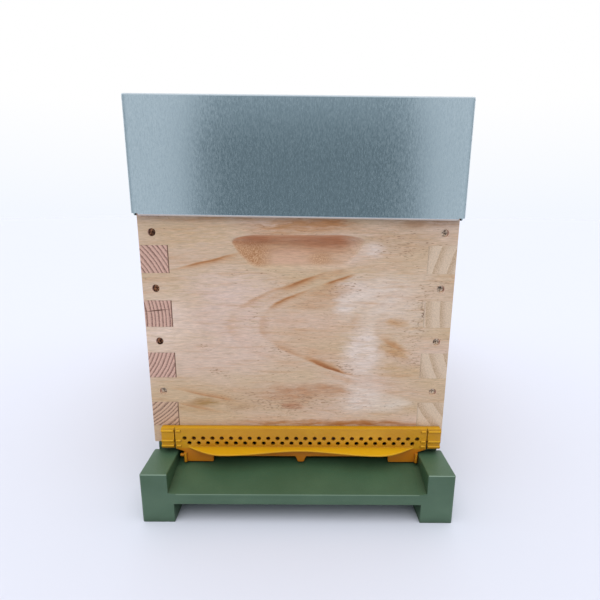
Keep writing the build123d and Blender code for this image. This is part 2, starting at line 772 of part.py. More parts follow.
def reducer_canopy():
    """The wavy canopy over the entrances, tilted down towards the front."""
    rim = Spline(
        (-CANOPY_HALF, 0),
        (-CANOPY_BULGE_X, -CANOPY_BULGE),
        (0, -CANOPY_MIDDLE),
        (CANOPY_BULGE_X, -CANOPY_BULGE),
        (CANOPY_HALF, 0),
        tangents=[(1, -CANOPY_END_SLOPE), (1, 0), (1, 0), (1, 0), (1, CANOPY_END_SLOPE)],
    )
    root = Polyline((CANOPY_HALF, 0), (CANOPY_HALF, CUT), (-CANOPY_HALF, CUT), (-CANOPY_HALF, 0))
    plan = make_face([rim, root])
    slab = extrude(plan, amount=CANOPY_THICK, dir=(0, 0, -1))
    slab = fillet(slab.edges().filter_by(GeomType.BSPLINE), CANOPY_RIM_R)
    return Pos(0, REDUCER_FACE, CANOPY_ROOT) * Rot(CANOPY_TILT, 0, 0) * slab


def reducer_tab():
    """The springy, ribbed tab at the right end, parted from the plate by a tapered slit."""
    back = REDUCER_FACE + REDUCER_PLATE
    tab = along_y(
        [
            (TAB_SLIT + TAB_SLIT_TOP, REDUCER_TOP),
            (TAB_SLIT + TAB_SLIT_LOW, TAB_BOTTOM),
            (REDUCER_HALF, TAB_BOTTOM),
            (REDUCER_HALF, REDUCER_TOP),
        ],
        REDUCER_FACE,
        back,
    )
    wall = REDUCER_HALF - TAB_WALL
    wall_back = -REDUCER_BODY_GAP
    tab += block(wall, REDUCER_HALF, REDUCER_FACE, wall_back, TAB_BOTTOM, REDUCER_TOP)
    for z in RIB_HEIGHTS:
        tab += rod_x(REDUCER_FACE, z, RIB_R, TAB_SLIT + TAB_SLIT_LOW, REDUCER_HALF)
    return tab


def entrance_reducer():
    """The whole reducer: plate, ledge, tabs, ribs, canopy, vents, pegs and the left end's locating pip."""
    reducer = reducer_plate()
    reducer += block(
        -REDUCER_HALF,
        REDUCER_HALF,
        REDUCER_FACE,
        -REDUCER_BODY_GAP,
        REDUCER_TOP - LEDGE_THICK,
        REDUCER_TOP,
    )
    tab = reducer_tab()
    for z in RIB_HEIGHTS:
        tab += rod_x(REDUCER_FACE, z, RIB_R, RIB_STUB_IN, RIB_STUB_OUT)
    peg = rod_z(PEG_X, REDUCER_FACE - PEG_R / 2, PEG_R, PEG_LOW, PEG_TOP)
    pip_y = REDUCER_FACE + REDUCER_PLATE / 2
    slit = block(
        TAB_SLIT,
        TAB_SLIT + TAB_SLIT_TOP,
        REDUCER_FACE - CUT,
        REDUCER_FACE + REDUCER_PLATE,
        REDUCER_TOP - LEDGE_THICK - CUT,
        REDUCER_TOP + CUT,
    )
    reducer += reducer_canopy()
    for piece in (tab, peg):
        reducer += piece
        reducer += mirrored_x(piece)
    reducer += rod_x(pip_y, PIP_HEIGHT, PIP_R, -SKIRT_HALF - PIP_REACH, -SKIRT_HALF + CUT)
    reducer -= slit
    reducer -= mirrored_x(slit)
    back = REDUCER_FACE + REDUCER_PLATE
    for count, z in VENT_ROWS:
        for i in range(count):
            x = (i - (count - 1) / 2) * VENT_PITCH
            reducer -= rod_y(x, z, VENT_R, REDUCER_FACE - CUT, back + CUT)
    return Pos(REDUCER_SHIFT, 0, 0) * reducer


def write(node, shapes):
    """Moves a node's solids into the hive's own frame and writes them."""
    placed = [Pos(0, -MIDDLE_Y, 0) * shape for shape in shapes]
    solids = [solid for shape in placed for solid in shape.solids()]
    whole = solids[0] if len(solids) == 1 else Compound(children=solids)
    export_step(whole, os.path.join("parts", node + ".step"))


def main():
    os.makedirs("parts", exist_ok=True)
    front = end_board()
    side = side_board()
    screws = [screw(x, z) for x, z in screw_places()]
    nails = [nail["nail"] for nail in rest_nails()]
    rivets = [rivet(y, z) for y, z in rivet_places()]
    write("floor_tray", [floor_tray()])
    write("floor_grille", [floor_grille()])
    write("inspection_tray", [inspection_tray()])
    write("entrance_reducer", [entrance_reducer()])
    write("front_board", [front])
    write("back_board", [at_back(front)])
    write("right_side_board", [side])
    write("left_side_board", [mirrored_x(side)])
    write("front_corner_screws", screws)
    write("back_corner_screws", [at_back(piece) for piece in screws])
    write("front_frame_rest", [frame_rest()])
    write("back_frame_rest", [at_back(frame_rest())])
    write("frame_rest_nails", nails + [at_back(piece) for piece in nails])
    for number, x in enumerate(frame_places(), 1):
        for piece, solids in brood_frame(x).items():
            write(f"frame_{number}_{piece}", solids)
    write("crown_board", [crown_board()])
    write("feed_hole_plug", [feed_hole_plug()])
    write("roof_sheet", [roof_sheet()])
    write("roof_rivets", rivets + [mirrored_x(piece) for piece in rivets])


main()
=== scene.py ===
import math

import bmesh
import bpy
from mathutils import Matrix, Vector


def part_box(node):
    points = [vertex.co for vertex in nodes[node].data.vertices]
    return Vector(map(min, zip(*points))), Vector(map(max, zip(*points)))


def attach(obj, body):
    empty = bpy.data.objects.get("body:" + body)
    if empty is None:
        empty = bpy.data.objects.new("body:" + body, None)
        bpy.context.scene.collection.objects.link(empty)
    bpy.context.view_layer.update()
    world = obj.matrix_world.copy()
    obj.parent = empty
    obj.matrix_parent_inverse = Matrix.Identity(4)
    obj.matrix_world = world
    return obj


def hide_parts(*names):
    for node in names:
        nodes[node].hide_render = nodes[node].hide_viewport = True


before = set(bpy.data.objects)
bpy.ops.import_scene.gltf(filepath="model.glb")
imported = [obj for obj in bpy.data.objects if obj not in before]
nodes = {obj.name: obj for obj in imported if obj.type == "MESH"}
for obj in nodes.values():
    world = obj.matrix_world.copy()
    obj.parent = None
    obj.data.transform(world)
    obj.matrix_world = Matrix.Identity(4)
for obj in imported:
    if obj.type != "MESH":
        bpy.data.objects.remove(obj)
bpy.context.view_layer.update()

# A nucleus hive: galvanised roof, finger-jointed pine box, moulded floor and entrance reducer, brood frames.
# Lengths are metres in the hive's own frame. Patterns and places on the boards are written in millimetres.
MM = 0.001
front_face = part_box("front_board")[0].y / MM
back_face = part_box("back_board")[1].y / MM
floor_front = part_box("floor_tray")[0].y / MM
crown_low, crown_high = (corner.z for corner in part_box("crown_board"))
EVERYWHERE = 1000.0     # a patch's size along an axis that doesn't limit it, in metres


def linear(hex_colour):
    """An sRGB hex colour as linear RGBA."""
    channels = [int(hex_colour[i:i + 2], 16) / 255 for i in (1, 3, 5)]
    light = [c / 12.92 if c <= 0.04045 else ((c + 0.055) / 1.055) ** 2.4 for c in channels]
    return light + [1.0]


# What nodes here have unless a call says otherwise: mixes are of colours, and coordinates give a noise its size
USUAL_SETTINGS = {"Mix": {"data_type": "RGBA"}}
USUAL_INPUTS = {"TexNoise": {"Scale": 1.0, "Detail": 2.0}}


def node_adder(tree):
    """Empties a node tree, and gives the function that adds nodes to it."""
    tree.nodes.clear()

    def add(kind, inputs=None, operation=None, **settings):
        """Adds a node with its settings, and feeds its inputs from values, hex colours, nodes or sockets."""
        made = tree.nodes.new("ShaderNode" + kind)
        if operation:
            made.operation = operation
        for name, value in {**USUAL_SETTINGS.get(kind, {}), **settings}.items():
            setattr(made, name, value)
        for key, value in {**USUAL_INPUTS.get(kind, {}), **(inputs or {})}.items():
            by_name = isinstance(key, str)
            socket = next(s for s in made.inputs if s.enabled and s.name == key) if by_name else made.inputs[key]
            if isinstance(value, bpy.types.Node):
                value = next(s for s in value.outputs if s.enabled)
            if isinstance(value, bpy.types.NodeSocket):
                tree.links.new(value, socket)
            else:
                socket.default_value = linear(value) if isinstance(value, str) else value
        return made

    return add


def ramp_stops(node, stops):
    """Sets a colour ramp's stops from pairs of a place and a grey, a hex colour or a linear one."""
    elements = node.color_ramp.elements
    while len(elements) > 1:
        elements.remove(elements[-1])
    for i, (place, colour) in enumerate(stops):
        stop = elements[0] if i == 0 else elements.new(place)
        stop.position = place
        if isinstance(colour, str):
            colour = linear(colour)
        stop.color = colour if isinstance(colour, list) else [colour, colour, colour, 1.0]
    return node


def new_material(name):
    """An empty material, and the function that adds nodes to it."""
    material = bpy.data.materials.new(name)
    material.use_nodes = True
    return material, node_adder(material.node_tree)


def surfaced(material, add, inputs):
    """The material with its surface, made from these inputs."""
    add("OutputMaterial", {"Surface": add("BsdfPrincipled", inputs)})
    return material


def dress(material, *names):
    """Gives CAD nodes a material."""
    for name in names:
        slots = nodes[name].data.materials
        slots.clear()
        slots.append(material)


def in_sizes(add, place, sizes_mm):
    """Coordinates that count in a pattern's own size along each axis."""
    scale = [1000 / size for size in sizes_mm]
    return add("VectorMath", {0: place, 1: scale}, "MULTIPLY")


# Pine boards

RING_MARGINS = (8.0, 5.0)       # room inside the first chosen ring and outside the last
RING_FADE = 7.0                 # a chosen ring's dark wood comes up over this much at most
RING_CLEAR = 0.5                # and starts this far outside the ring before it
RING_PROFILE = ((-2.4, 0.4), (-0.5, 1.0), (0.3, 0.0))   # places from its outer edge, and how dark it is there
GRAIN_AXIS = {"x": (1, 0, 0), "y": (0, 1, 0), "z": (0, 0, 1)}
FINGER_LOW = 75.3       # the lowest finger of the side boards starts at this height
FINGER = 25.3
FINGER_DEPTH = 26.0
BODY_SIDE = 142.5
SCREW_X = 130.2
LOWEST_SCREW = 130.0    # only the lowest screw of a corner is below this height
SCREW_HOLE = 6.0        # half a screw hole's width, with a margin
SCOOP_LOW = 231.4       # the handhold's lower and upper edges
SCOOP_HIGH = 262.0
SCOOP_SIDE = 80.0       # and its ends, on both sides of the middle
RED_START = 62.0        # its red comes up from the right end
RED_FULL = 38.0
TORN_START = -22.0      # its wood is torn towards the left end
TORN_FULL = -36.0
TORN_HIGH = 258.0       # but not along its upper edge
TORN_LOW = 248.0
TORN_MIDDLE = (20, 240, 16, 9)          # a torn patch near the middle
STAIN_STRENGTH = 0.7
DAYLIGHT_SHADE = (1.0, 1.02, 1.08)      # daylight has greyed the planed faces a little


def along_grain(add, place, wood, along_mm, across_mm):
    """Coordinates that count in a pattern's size along the grain and across it."""
    return in_sizes(add, place, [along_mm if axis == wood["grain"] else across_mm for axis in "xyz"])


def growth_radius(add, place, wood):
    """Distance from the pith in mm, with the trunk's taper and a slow wobble: a cut through it shows its rings."""
    across = [0.0 if axis == wood["grain"] else 1000.0 for axis in "xyz"]
    from_pith = add("VectorMath", {0: place, 1: [v * MM for v in wood["pith"]]}, "SUBTRACT")
    flat = add("VectorMath", {0: from_pith, 1: across}, "MULTIPLY")
    radius = add("VectorMath", {0: flat}, "LENGTH")
    axis = [wood["taper"] * 1000 * v for v in GRAIN_AXIS[wood["grain"]]]
    along = add("VectorMath", {0: place, 1: axis}, "DOT_PRODUCT")
    straight = add("Math", {0: radius, 1: along}, "SUBTRACT")
    slow = add("TexNoise", {"Vector": along_grain(add, place, wood, 70, 26), "Detail": 3.0, "Roughness": 0.55})
    shift = add("MapRange", {"Value": slow, "To Min": -wood["wobble"], "To Max": wood["wobble"]})
    return add("Math", {0: straight, 1: shift}, "ADD")


def chosen_rings(add, radius, rings):
    """Latewood of chosen rings, as (radius, strength): each darkens outwards, slowly then fast, and ends at once."""
    before, after = RING_MARGINS
    first, last = rings[0][0] - before, rings[-1][0] + after
    share = add("MapRange", {"Value": radius, "From Min": first, "From Max": last})
    stops = [(0.0, 0.0)]
    inner = first
    for outer, strength in rings:
        fade = min(RING_FADE, outer - inner - RING_CLEAR)
        for offset, level in ((-fade, 0.0), *RING_PROFILE):
            stops.append(((outer + offset - first) / (last - first), level * strength))
        inner = outer
    return ramp_stops(add("ValToRGB", {"Fac": share}), stops)


def even_rings(add, radius, width_mm, unevenness, band):
    """Latewood of evenly grown rings whose widths vary a little. The band is the dark share of a ring."""
    rhythm = add("Math", {0: radius, 1: 1 / width_mm}, "MULTIPLY")
    slow = add("Math", {0: rhythm, 1: 0.35}, "MULTIPLY")
    uneven = add("TexNoise", {"W": slow, "Detail": 1.0}, noise_dimensions="1D")
    turns = add("Math", {0: uneven, 1: unevenness, 2: rhythm}, "MULTIPLY_ADD")
    turn = add("Math", {0: turns}, "FRACT")
    profile = [(0.0, 0.0), (0.9 - 1.6 * band, 0.06), (0.92 - band, 0.5), (0.91, 1.0), (0.97, 0.9), (1.0, 0.0)]
    return ramp_stops(add("ValToRGB", {"Fac": turn}), profile)


def patch(add, place, x, z, half_length, half_height, tilt=0):
    """A long lens-shaped patch on the front: 1 at its middle, 0 outside."""
    inside = add("Mapping", {
        "Vector": place, "Location": (x * MM, 0, z * MM), "Rotation": (0, math.radians(-tilt), 0),
        "Scale": (half_length * MM, EVERYWHERE, half_height * MM)}, vector_type="TEXTURE")
    reach = add("VectorMath", {0: inside}, "LENGTH")
    return add("MapRange", {"Value": reach, "From Min": 1.0, "From Max": 0.2}, interpolation_type="SMOOTHSTEP")


def earlywood(add, place, patch_place, grain_place, wood, front):
    """Wood between the lines: cream and pink fields, the front board's stains, and streaks of denser wood."""
    tint = add("TexNoise", {"Vector": along_grain(add, place, wood, 110, 40)})
    tint_share = add("MapRange", {"Value": tint, "From Min": 0.38, "From Max": 0.6})
    base = add("Mix", {"Factor": tint_share, "A": wood["cream"], "B": wood["pink"]})
    if front:
        base = stains_of_front(add, patch_place, base)
    # the streaks are 40 mm by 3 mm
    dense = add("TexNoise", {"Vector": along_grain(add, grain_place, wood, 40, 3), "Detail": 3.0, "Roughness": 0.6})
    dense_share = add("MapRange", {"Value": dense, "From Min": 0.5, "From Max": 0.72, "To Max": 0.3})
    return add("Mix", {"Factor": dense_share, "A": base, "B": wood["late"]})


def resin_ducts(add, place, patch_place, grain_place, wood, colour, front):
    """Resin ducts: short brown dashes along the grain, in loose groups."""
    duct = add("TexNoise", {"Vector": along_grain(add, grain_place, wood, 3.6, 0.8), "Detail": 1.0})
    group = add("TexNoise", {"Vector": along_grain(add, place, wood, 30, 18)})
    if front:
        group = sum_of_patches(add, patch_place, FRONT_SPECKS, group)
    duct_lean = add("Math", {0: group, 1: 0.24, 2: duct}, "MULTIPLY_ADD")
    duct_share = add("MapRange", {"Value": duct_lean, "From Min": 0.8, "From Max": 0.92, "To Max": 0.68})
    return add("Mix", {"Factor": duct_share, "A": colour, "B": "#8C6446"})


def end_grain(add, place, wood, rings):
    """End grain drinks the light: pinker and darker, its rings sharper, its rim bruised by the saw."""
    pore = add("TexNoise", {"Vector": in_sizes(add, place, (1.1, 1.1, 1.1)), "Detail": 3.0, "Roughness": 0.65})
    pore_shade = add("MapRange", {"Value": pore, "From Min": 0.25, "From Max": 0.75, "To Min": 0.8, "To Max": 1.16})
    beaded = add("MapRange", {"Value": pore, "From Min": 0.35, "From Max": 0.55, "To Min": 1.0, "To Max": 0.6})
    ring_share = add("Math", {0: rings, 1: beaded}, "MULTIPLY")
    colour = add("Mix", {"Factor": ring_share, "A": wood["end"], "B": wood["end_ring"]})
    pored = add("VectorMath", {0: colour, "Scale": pore_shade}, "SCALE")
    return pored if wood["grain"] == "x" else finger_rims(add, place, pored, wood)


def planed_wood(name, wood, front=False):
    """Planed wood: pale earlywood, warm latewood lines, fine fibre, resin ducts, and darker end grain."""
    material, add = new_material(name)
    place = add("TexCoord").outputs["Object"]
    radius = growth_radius(add, place, wood)
    rings = chosen_rings(add, radius, FRONT_RINGS) if front else even_rings(add, radius, *wood["rings"])
    # lines come and go along a board, because the plane meets each ring at a changing slope
    cloud = add("TexNoise", {"Vector": along_grain(add, place, wood, 60, 20)})
    showing = add("MapRange", {
        "Value": cloud, "From Min": 0.3, "From Max": 0.65, "To Min": wood["faint"], "To Max": wood["strong"]})
    patch_place = wandering(add, place, along_mm=26, up_mm=9)
    grain_place = wandering(add, place, along_mm=10, up_mm=2)
    if front:
        showing = sum_of_patches(add, patch_place, FRONT_STREAKS, showing)
    line = add("Math", {0: rings, 1: showing}, "MULTIPLY")
    streaked = earlywood(add, place, patch_place, grain_place, wood, front)
    lined = add("Mix", {"Factor": line, "A": streaked, "B": wood["late"]})
    # where a ring is widest its edge is soaked with resin
    resin = add("MapRange", {"Value": line, "From Min": 0.7, "From Max": 1.3})
    face = add("Mix", {"Factor": resin, "A": lined, "B": wood["resin"]})
    # fibre: thin streaks, 9 mm by 0.9 mm
    fibre = add("TexNoise", {"Vector": along_grain(add, grain_place, wood, 9, 0.9), "Detail": 4.0, "Roughness": 0.7})
    fibre_shade = add("MapRange", {
        "Value": fibre, "From Min": 0.25, "From Max": 0.75, "To Min": 0.78, "To Max": 1.26})
    greyed = add("VectorMath", {0: face, 1: DAYLIGHT_SHADE}, "MULTIPLY")
    fibred = add("VectorMath", {0: greyed, "Scale": fibre_shade}, "SCALE")
    side = resin_ducts(add, place, patch_place, grain_place, wood, fibred, front)
    if front:
        side = cuts_of_front(add, place, side, fibre_shade)
    end = end_grain(add, place, wood, rings)
    normal = add("NewGeometry").outputs["True Normal"]
    facing = add("VectorMath", {0: normal, 1: GRAIN_AXIS[wood["grain"]]}, "DOT_PRODUCT")
    facing_size = add("Math", {0: facing}, "ABSOLUTE")
    is_end = add("MapRange", {"Value": facing_size, "From Min": 0.6, "From Max": 0.85})
    colour = add("Mix", {"Factor": is_end, "A": side, "B": end})
    rough = add("MapRange", {"Value": resin, "To Min": 0.68, "To Max": 0.5})
    relief = add("Math", {0: line, 1: 0.5, 2: fibre}, "MULTIPLY_ADD")
    bump = add("Bump", {"Strength": 0.4, "Distance": 0.12 * MM, "Height": relief})
    return surfaced(material, add, {
        "Base Color": colour, "Roughness": rough, "Normal": bump, "Specular IOR Level": 0.25})


def finger_rims(add, place, colour, wood):
    """Each finger's end: its tint, the saw's bruised brown rim, widest along the joint's inner edge, and a crack."""
    axes = add("SeparateXYZ", {0: place}).outputs
    # the lowest finger has its own tint
    lowest = add("MapRange", {
        "Value": axes["Z"], "From Min": (FINGER_LOW + 1.8 * FINGER) * MM,
        "From Max": (FINGER_LOW + 1.2 * FINGER) * MM})
    tinted = add("VectorMath", {0: colour, 1: wood["low_tint"]}, "MULTIPLY")
    colour = add("Mix", {"Factor": lowest, "A": colour, "B": tinted})
    height = add("MapRange", {
        "Value": axes["Z"], "From Min": FINGER_LOW * MM, "From Max": (FINGER_LOW + 2 * FINGER) * MM,
        "To Max": 2 * FINGER}, clamp=False)
    level = add("Math", {0: height, 1: 2 * FINGER}, "MODULO")
    from_top = add("Math", {0: FINGER, 1: level}, "SUBTRACT")
    edge = add("Math", {0: level, 1: from_top}, "MINIMUM")
    up_down = add("Math", {0: edge, 1: 0.45}, "ADD")
    across = add("Math", {0: axes["X"]}, "ABSOLUTE")
    inner = add("MapRange", {
        "Value": across, "From Min": (BODY_SIDE - FINGER_DEPTH) * MM, "From Max": BODY_SIDE * MM, "To Min": -0.5,
        "To Max": FINGER_DEPTH - 0.5}, clamp=False)
    nearest = add("Math", {0: up_down, 1: inner}, "MINIMUM")
    chip = add("TexNoise", {"Vector": in_sizes(add, place, (3, 3, 3))})
    ragged = add("Math", {0: chip, 1: -1.3, 2: nearest}, "MULTIPLY_ADD")
    rim = add("MapRange", {"Value": ragged, "From Min": -0.4, "From Max": 0.1, "To Min": wood["rim"], "To Max": 0.0})
    rimmed = add("Mix", {"Factor": rim, "A": colour, "B": "#6A4A3A"})
    crack = patch(add, place, *wood["crack"])
    return add("Mix", {"Factor": crack, "A": rimmed, "B": "#5F3F33"})


# The front board's own figure: arches that open to the right, with resin-brown streaks along some of them.
# Patches are (x, z, half length, half height, tilt if any, ...), in mm and degrees, on the board's face.
FRONT_RINGS = ((61.8, 0.9), (66.0, 0.7), (80.4, 1.0), (85.6, 0.9), (110.2, 0.9), (117.5, 0.8), (128.5, 0.8))
FRONT_STREAKS = (
    (2, 222.5, 34, 10, 17, 1.15),       # upper arms of the two middle arches
    (-38, 206.5, 28, 9, 33, 0.6),
    (36, 223.6, 24, 9, 20, 1.1),
    (-8.4, 206.7, 32, 10, 27, 1.0),
    (30, 136.5, 36, 9, -27, 1.35),      # lower arms
    (-10, 154, 22, 10, -38, 0.45),
    (90, 155.5, 25, 11, -31, 0.85),     # inner arch on the right
    (-82.3, 238, 44, 8, 10, 1.1),       # upper and lower left
    (-86.3, 106.2, 42, 10, -16, 0.95),
    (-98.1, 92.1, 26, 9, -14, 0.9),
    (-63.5, 179.5, 14, 20, 0, 0.15),    # tops of the arches
    (-33, 177, 10, 16, 0, 0.3),
    (48, 190, 12, 20, 0, 0.4),
)
FRONT_SPECKS = (
    (-40, 192, 11, 22, 0, 0.35),        # round the arches' tops
    (-18, 155, 24, 9, -30, 0.35),
    (46, 136, 24, 9, -27, 0.5),
    (98, 146, 26, 18, -30, 0.35),
    (-24, 101, 115, 22, 0, 0.45),       # along the foot
    (48, 212, 34, 14, 0, 0.3),
    (92, 252, 44, 18, 0, 0.36),         # right of the handhold and beside the fingers
    (112, 180, 10, 110, 0, 0.28),
    (125, 215, 18, 12, 0, 0.3),
    (-88, 156, 12, 7, 0, 0.9),          # small groups on the left
    (-72, 130, 26, 8, -12, 0.8),
    (-95, 160, 70, 110, 0, -0.35),      # hardly any between them
    (-95, 250, 70, 40, 0, -0.2),
)
FRONT_STAINS = (
    (-62, 186, 68, 54, 0, "#DBBFAF", 0.7),          # broad pink, pale and tan fields
    (-128, 178, 44, 50, 0, "#E6CCB8", 0.9),
    (12, 176, 52, 36, 0, "#D0AE91", 0.7),
    (95, 196, 54, 56, 0, "#D6BEA6", 0.9),
    (-20, 104, 120, 20, 0, "#C4A380", 0.8),
    (-95, 262, 64, 22, 0, "#C8A881", 0.8),
    (85, 258, 70, 17, 0, "#BF9F7C", 0.8),
    (52, 212, 26, 20, 0, "#DECABA", 0.9),           # pale clouds
    (43, 198, 15, 19, 0, "#E0CDBD", 0.9),
    (62, 152, 27, 42, 0, "#E3D0C1", 1.0),
    (-63, 216, 64, 24, 0, "#DBC0AF", 0.75),
    (74, 204, 44, 34, 0, "#E0CCBA", 0.7),
    (62, 104, 30, 23, 0, "#E2D0C0", 1.0),
    (88, 99, 27, 13, 0, "#DCCAB6", 0.9),
    (68, 248, 16, 11, 0, "#E0CCBC", 0.9),
    (90, 156, 26, 10, -25, "#C6A078", 0.8),         # yellow-brown clouds
    (94, 135, 32, 13, -6, "#C6A47C", 0.9),
    (91, 181, 16, 6, 0, "#C2976A", 0.9),
    (95, 154, 18, 7, -30, "#C49B70", 1.0),
    (-91, 100, 20, 6, 0, "#A27C46", 1.0),
    (-58, 95.5, 12, 4, 0, "#B0906E", 0.9),
    (-0.9, 172.4, 40, 6, 0, "#CBA683", 0.6),
    (18.5, 152.3, 34, 6, -6, "#C9A17E", 0.7),
    (-104, 94, 34, 8, -6, "#BF9A70", 0.8),
    (-64, 100, 28, 6, -14, "#C29D76", 0.7),
    (30, 210, 27, 11, 8, "#BF936E", 0.8),           # reddish patches, also along the foot; the strips just above the reducer and under the hem are painted warm shade
    (16, 199, 24, 9, 0, "#C59C7A", 0.7),
    (30, 115, 30, 8, -6, "#B88A66", 1.0),
    (-4, 110, 46, 13, 0, "#BC8E6B", 1.0),
    (-3, 97, 17, 5, 0, "#B5805F", 1.0),
    # painted warm shade along the top of the reducer
    (30, 78.6, 130, 4.6, 0, "#B27C4A", 1.0),
    (68, 78, 70, 3.4, 0, "#A86E3C", 1.0),
    # painted warm shade under the roof's hem
    (18, 272, 50, 6.5, 0, "#B0713F", 1.0),
    (112, 272, 42, 6.5, 0, "#AE8460", 0.8),
    (-70, 275.5, 90, 4, 0, "#BC9470", 0.9),
    (-4, 268, 66, 11, 0, "#BC8C62", 1.0),
    (121.6, 252.4, 1.4, 1.1, 0, "#3F2A1E", 1.0),    # a dark speck of resin
    (115.4, 189.2, 1.1, 16, 0, "#6B4A36", 1.0),     # torn edge beside a finger
)
HANDHOLD_STAINS = (
    (-8, 242, 34, 12, "#D0A890"),                   # a pale pink field between two red ones
    (-38, 256.5, 18, 7, "#AB6C48"),
    (27, 255, 42, 10, "#B07350"),
)


def wandering(add, place, along_mm, up_mm):
    """Places shifted a little, so that patches get uneven outlines and fibre runs unevenly."""
    drift = add("TexNoise", {"Vector": in_sizes(add, place, (24, 24, 9)), "Detail": 5.0, "Roughness": 0.6})
    centred = add("VectorMath", {0: drift.outputs["Color"], 1: (0.5, 0.5, 0.5)}, "SUBTRACT")
    shift = add("VectorMath", {0: centred, 1: (along_mm * MM, 0, up_mm * MM)}, "MULTIPLY")
    return add("VectorMath", {0: place, 1: shift}, "ADD")


def sum_of_patches(add, place, patches, level):
    """A level raised, or lowered, by each patch's strength."""
    for *shape, strength in patches:
        level = add("Math", {0: patch(add, place, *shape), 1: strength, 2: level}, "MULTIPLY_ADD")
    return level


def stains_of_front(add, place, colour):
    """The front board's reddish, yellow-brown and pale clouds, broken up along the grain."""
    broken = add("TexNoise", {"Vector": in_sizes(add, place, (18, 18, 2.5)), "Detail": 3.0})
    part = add("MapRange", {"Value": broken, "From Min": 0.3, "From Max": 0.6, "To Min": 0.3})
    for *shape, shade, strength in FRONT_STAINS:
        amount = add("Math", {0: patch(add, place, *shape), 1: strength}, "MULTIPLY")
        amount = add("Math", {0: amount, 1: part}, "MULTIPLY")
        colour = add("Mix", {"Factor": amount, "A": colour, "B": shade})
    return colour


def lit_screws(add, place):
    """1 at the right corner and at the lowest screw, where holes and heads get painted light; 0 at the other left
    holes, where they get painted shade.
    """
    axes = add("SeparateXYZ", {0: place}).outputs
    right = add("MapRange", {"Value": axes["X"], "From Min": -1 * MM, "From Max": 1 * MM})
    lowest = add("MapRange", {"Value": axes["Z"], "From Min": LOWEST_SCREW * MM, "From Max": (LOWEST_SCREW - 2) * MM})
    return add("Math", {0: right, 1: lowest}, "MAXIMUM")


def handhold_wood(add, place, axes, colour, scoop, mottle, fibre_shade):
    """The handhold's cut wood: redder and, with painted shade, darker towards the top, torn at the left end and near
    the middle.
    """
    up = add("MapRange", {"Value": axes["Z"], "From Min": SCOOP_LOW * MM, "From Max": SCOOP_HIGH * MM})
    # partly painted shade: the cut wood darkens towards the handhold's brow, and the top stop is painted lighter to
    # offset the brow's shadow
    cut_wood_and_shade = ramp_stops(add("ValToRGB", {"Fac": up}), [
        (0.0, "#C9A98F"), (0.35, "#BF997C"), (0.6, "#BB8C6B"), (0.78, "#B57F5D"), (0.9, "#BE8763"), (1.0, "#D0A17F")])
    # the right end is as pale as the board
    reach = add("MapRange", {"Value": axes["X"], "From Min": RED_START * MM, "From Max": RED_FULL * MM})
    redness = add("Math", {0: scoop, 1: mottle}, "MULTIPLY")
    redness = add("Math", {0: redness, 1: reach}, "MULTIPLY")
    red = add("Mix", {"Factor": redness, "A": colour, "B": cut_wood_and_shade})
    for *shape, shade in HANDHOLD_STAINS:
        amount = add("Math", {0: patch(add, place, *shape), 1: redness}, "MULTIPLY")
        amount = add("Math", {0: amount, 1: STAIN_STRENGTH}, "MULTIPLY")
        red = add("Mix", {"Factor": amount, "A": red, "B": shade})
    fibred = add("VectorMath", {0: red, "Scale": fibre_shade}, "SCALE")
    red = add("Mix", {"Factor": redness, "A": red, "B": fibred})
    left = add("MapRange", {"Value": axes["X"], "From Min": TORN_START * MM, "From Max": TORN_FULL * MM})
    low = add("MapRange", {"Value": axes["Z"], "From Min": TORN_HIGH * MM, "From Max": TORN_LOW * MM})
    torn = add("TexNoise", {"Vector": in_sizes(add, place, (0.8, 0.8, 1.0))})
    torn_colour = ramp_stops(add("ValToRGB", {"Fac": torn}), [(0.34, "#A87650"), (0.5, "#BA8B66"), (0.66, "#D4AE8A")])
    middle = patch(add, place, *TORN_MIDDLE)
    torn_ends = add("Math", {0: middle, 1: 0.6, 2: left}, "MULTIPLY_ADD", use_clamp=True)
    torn_share = add("Math", {0: torn_ends, 1: low}, "MULTIPLY")
    torn_share = add("Math", {0: scoop, 1: torn_share}, "MULTIPLY")
    return add("Mix", {"Factor": torn_share, "A": red, "B": torn_colour})


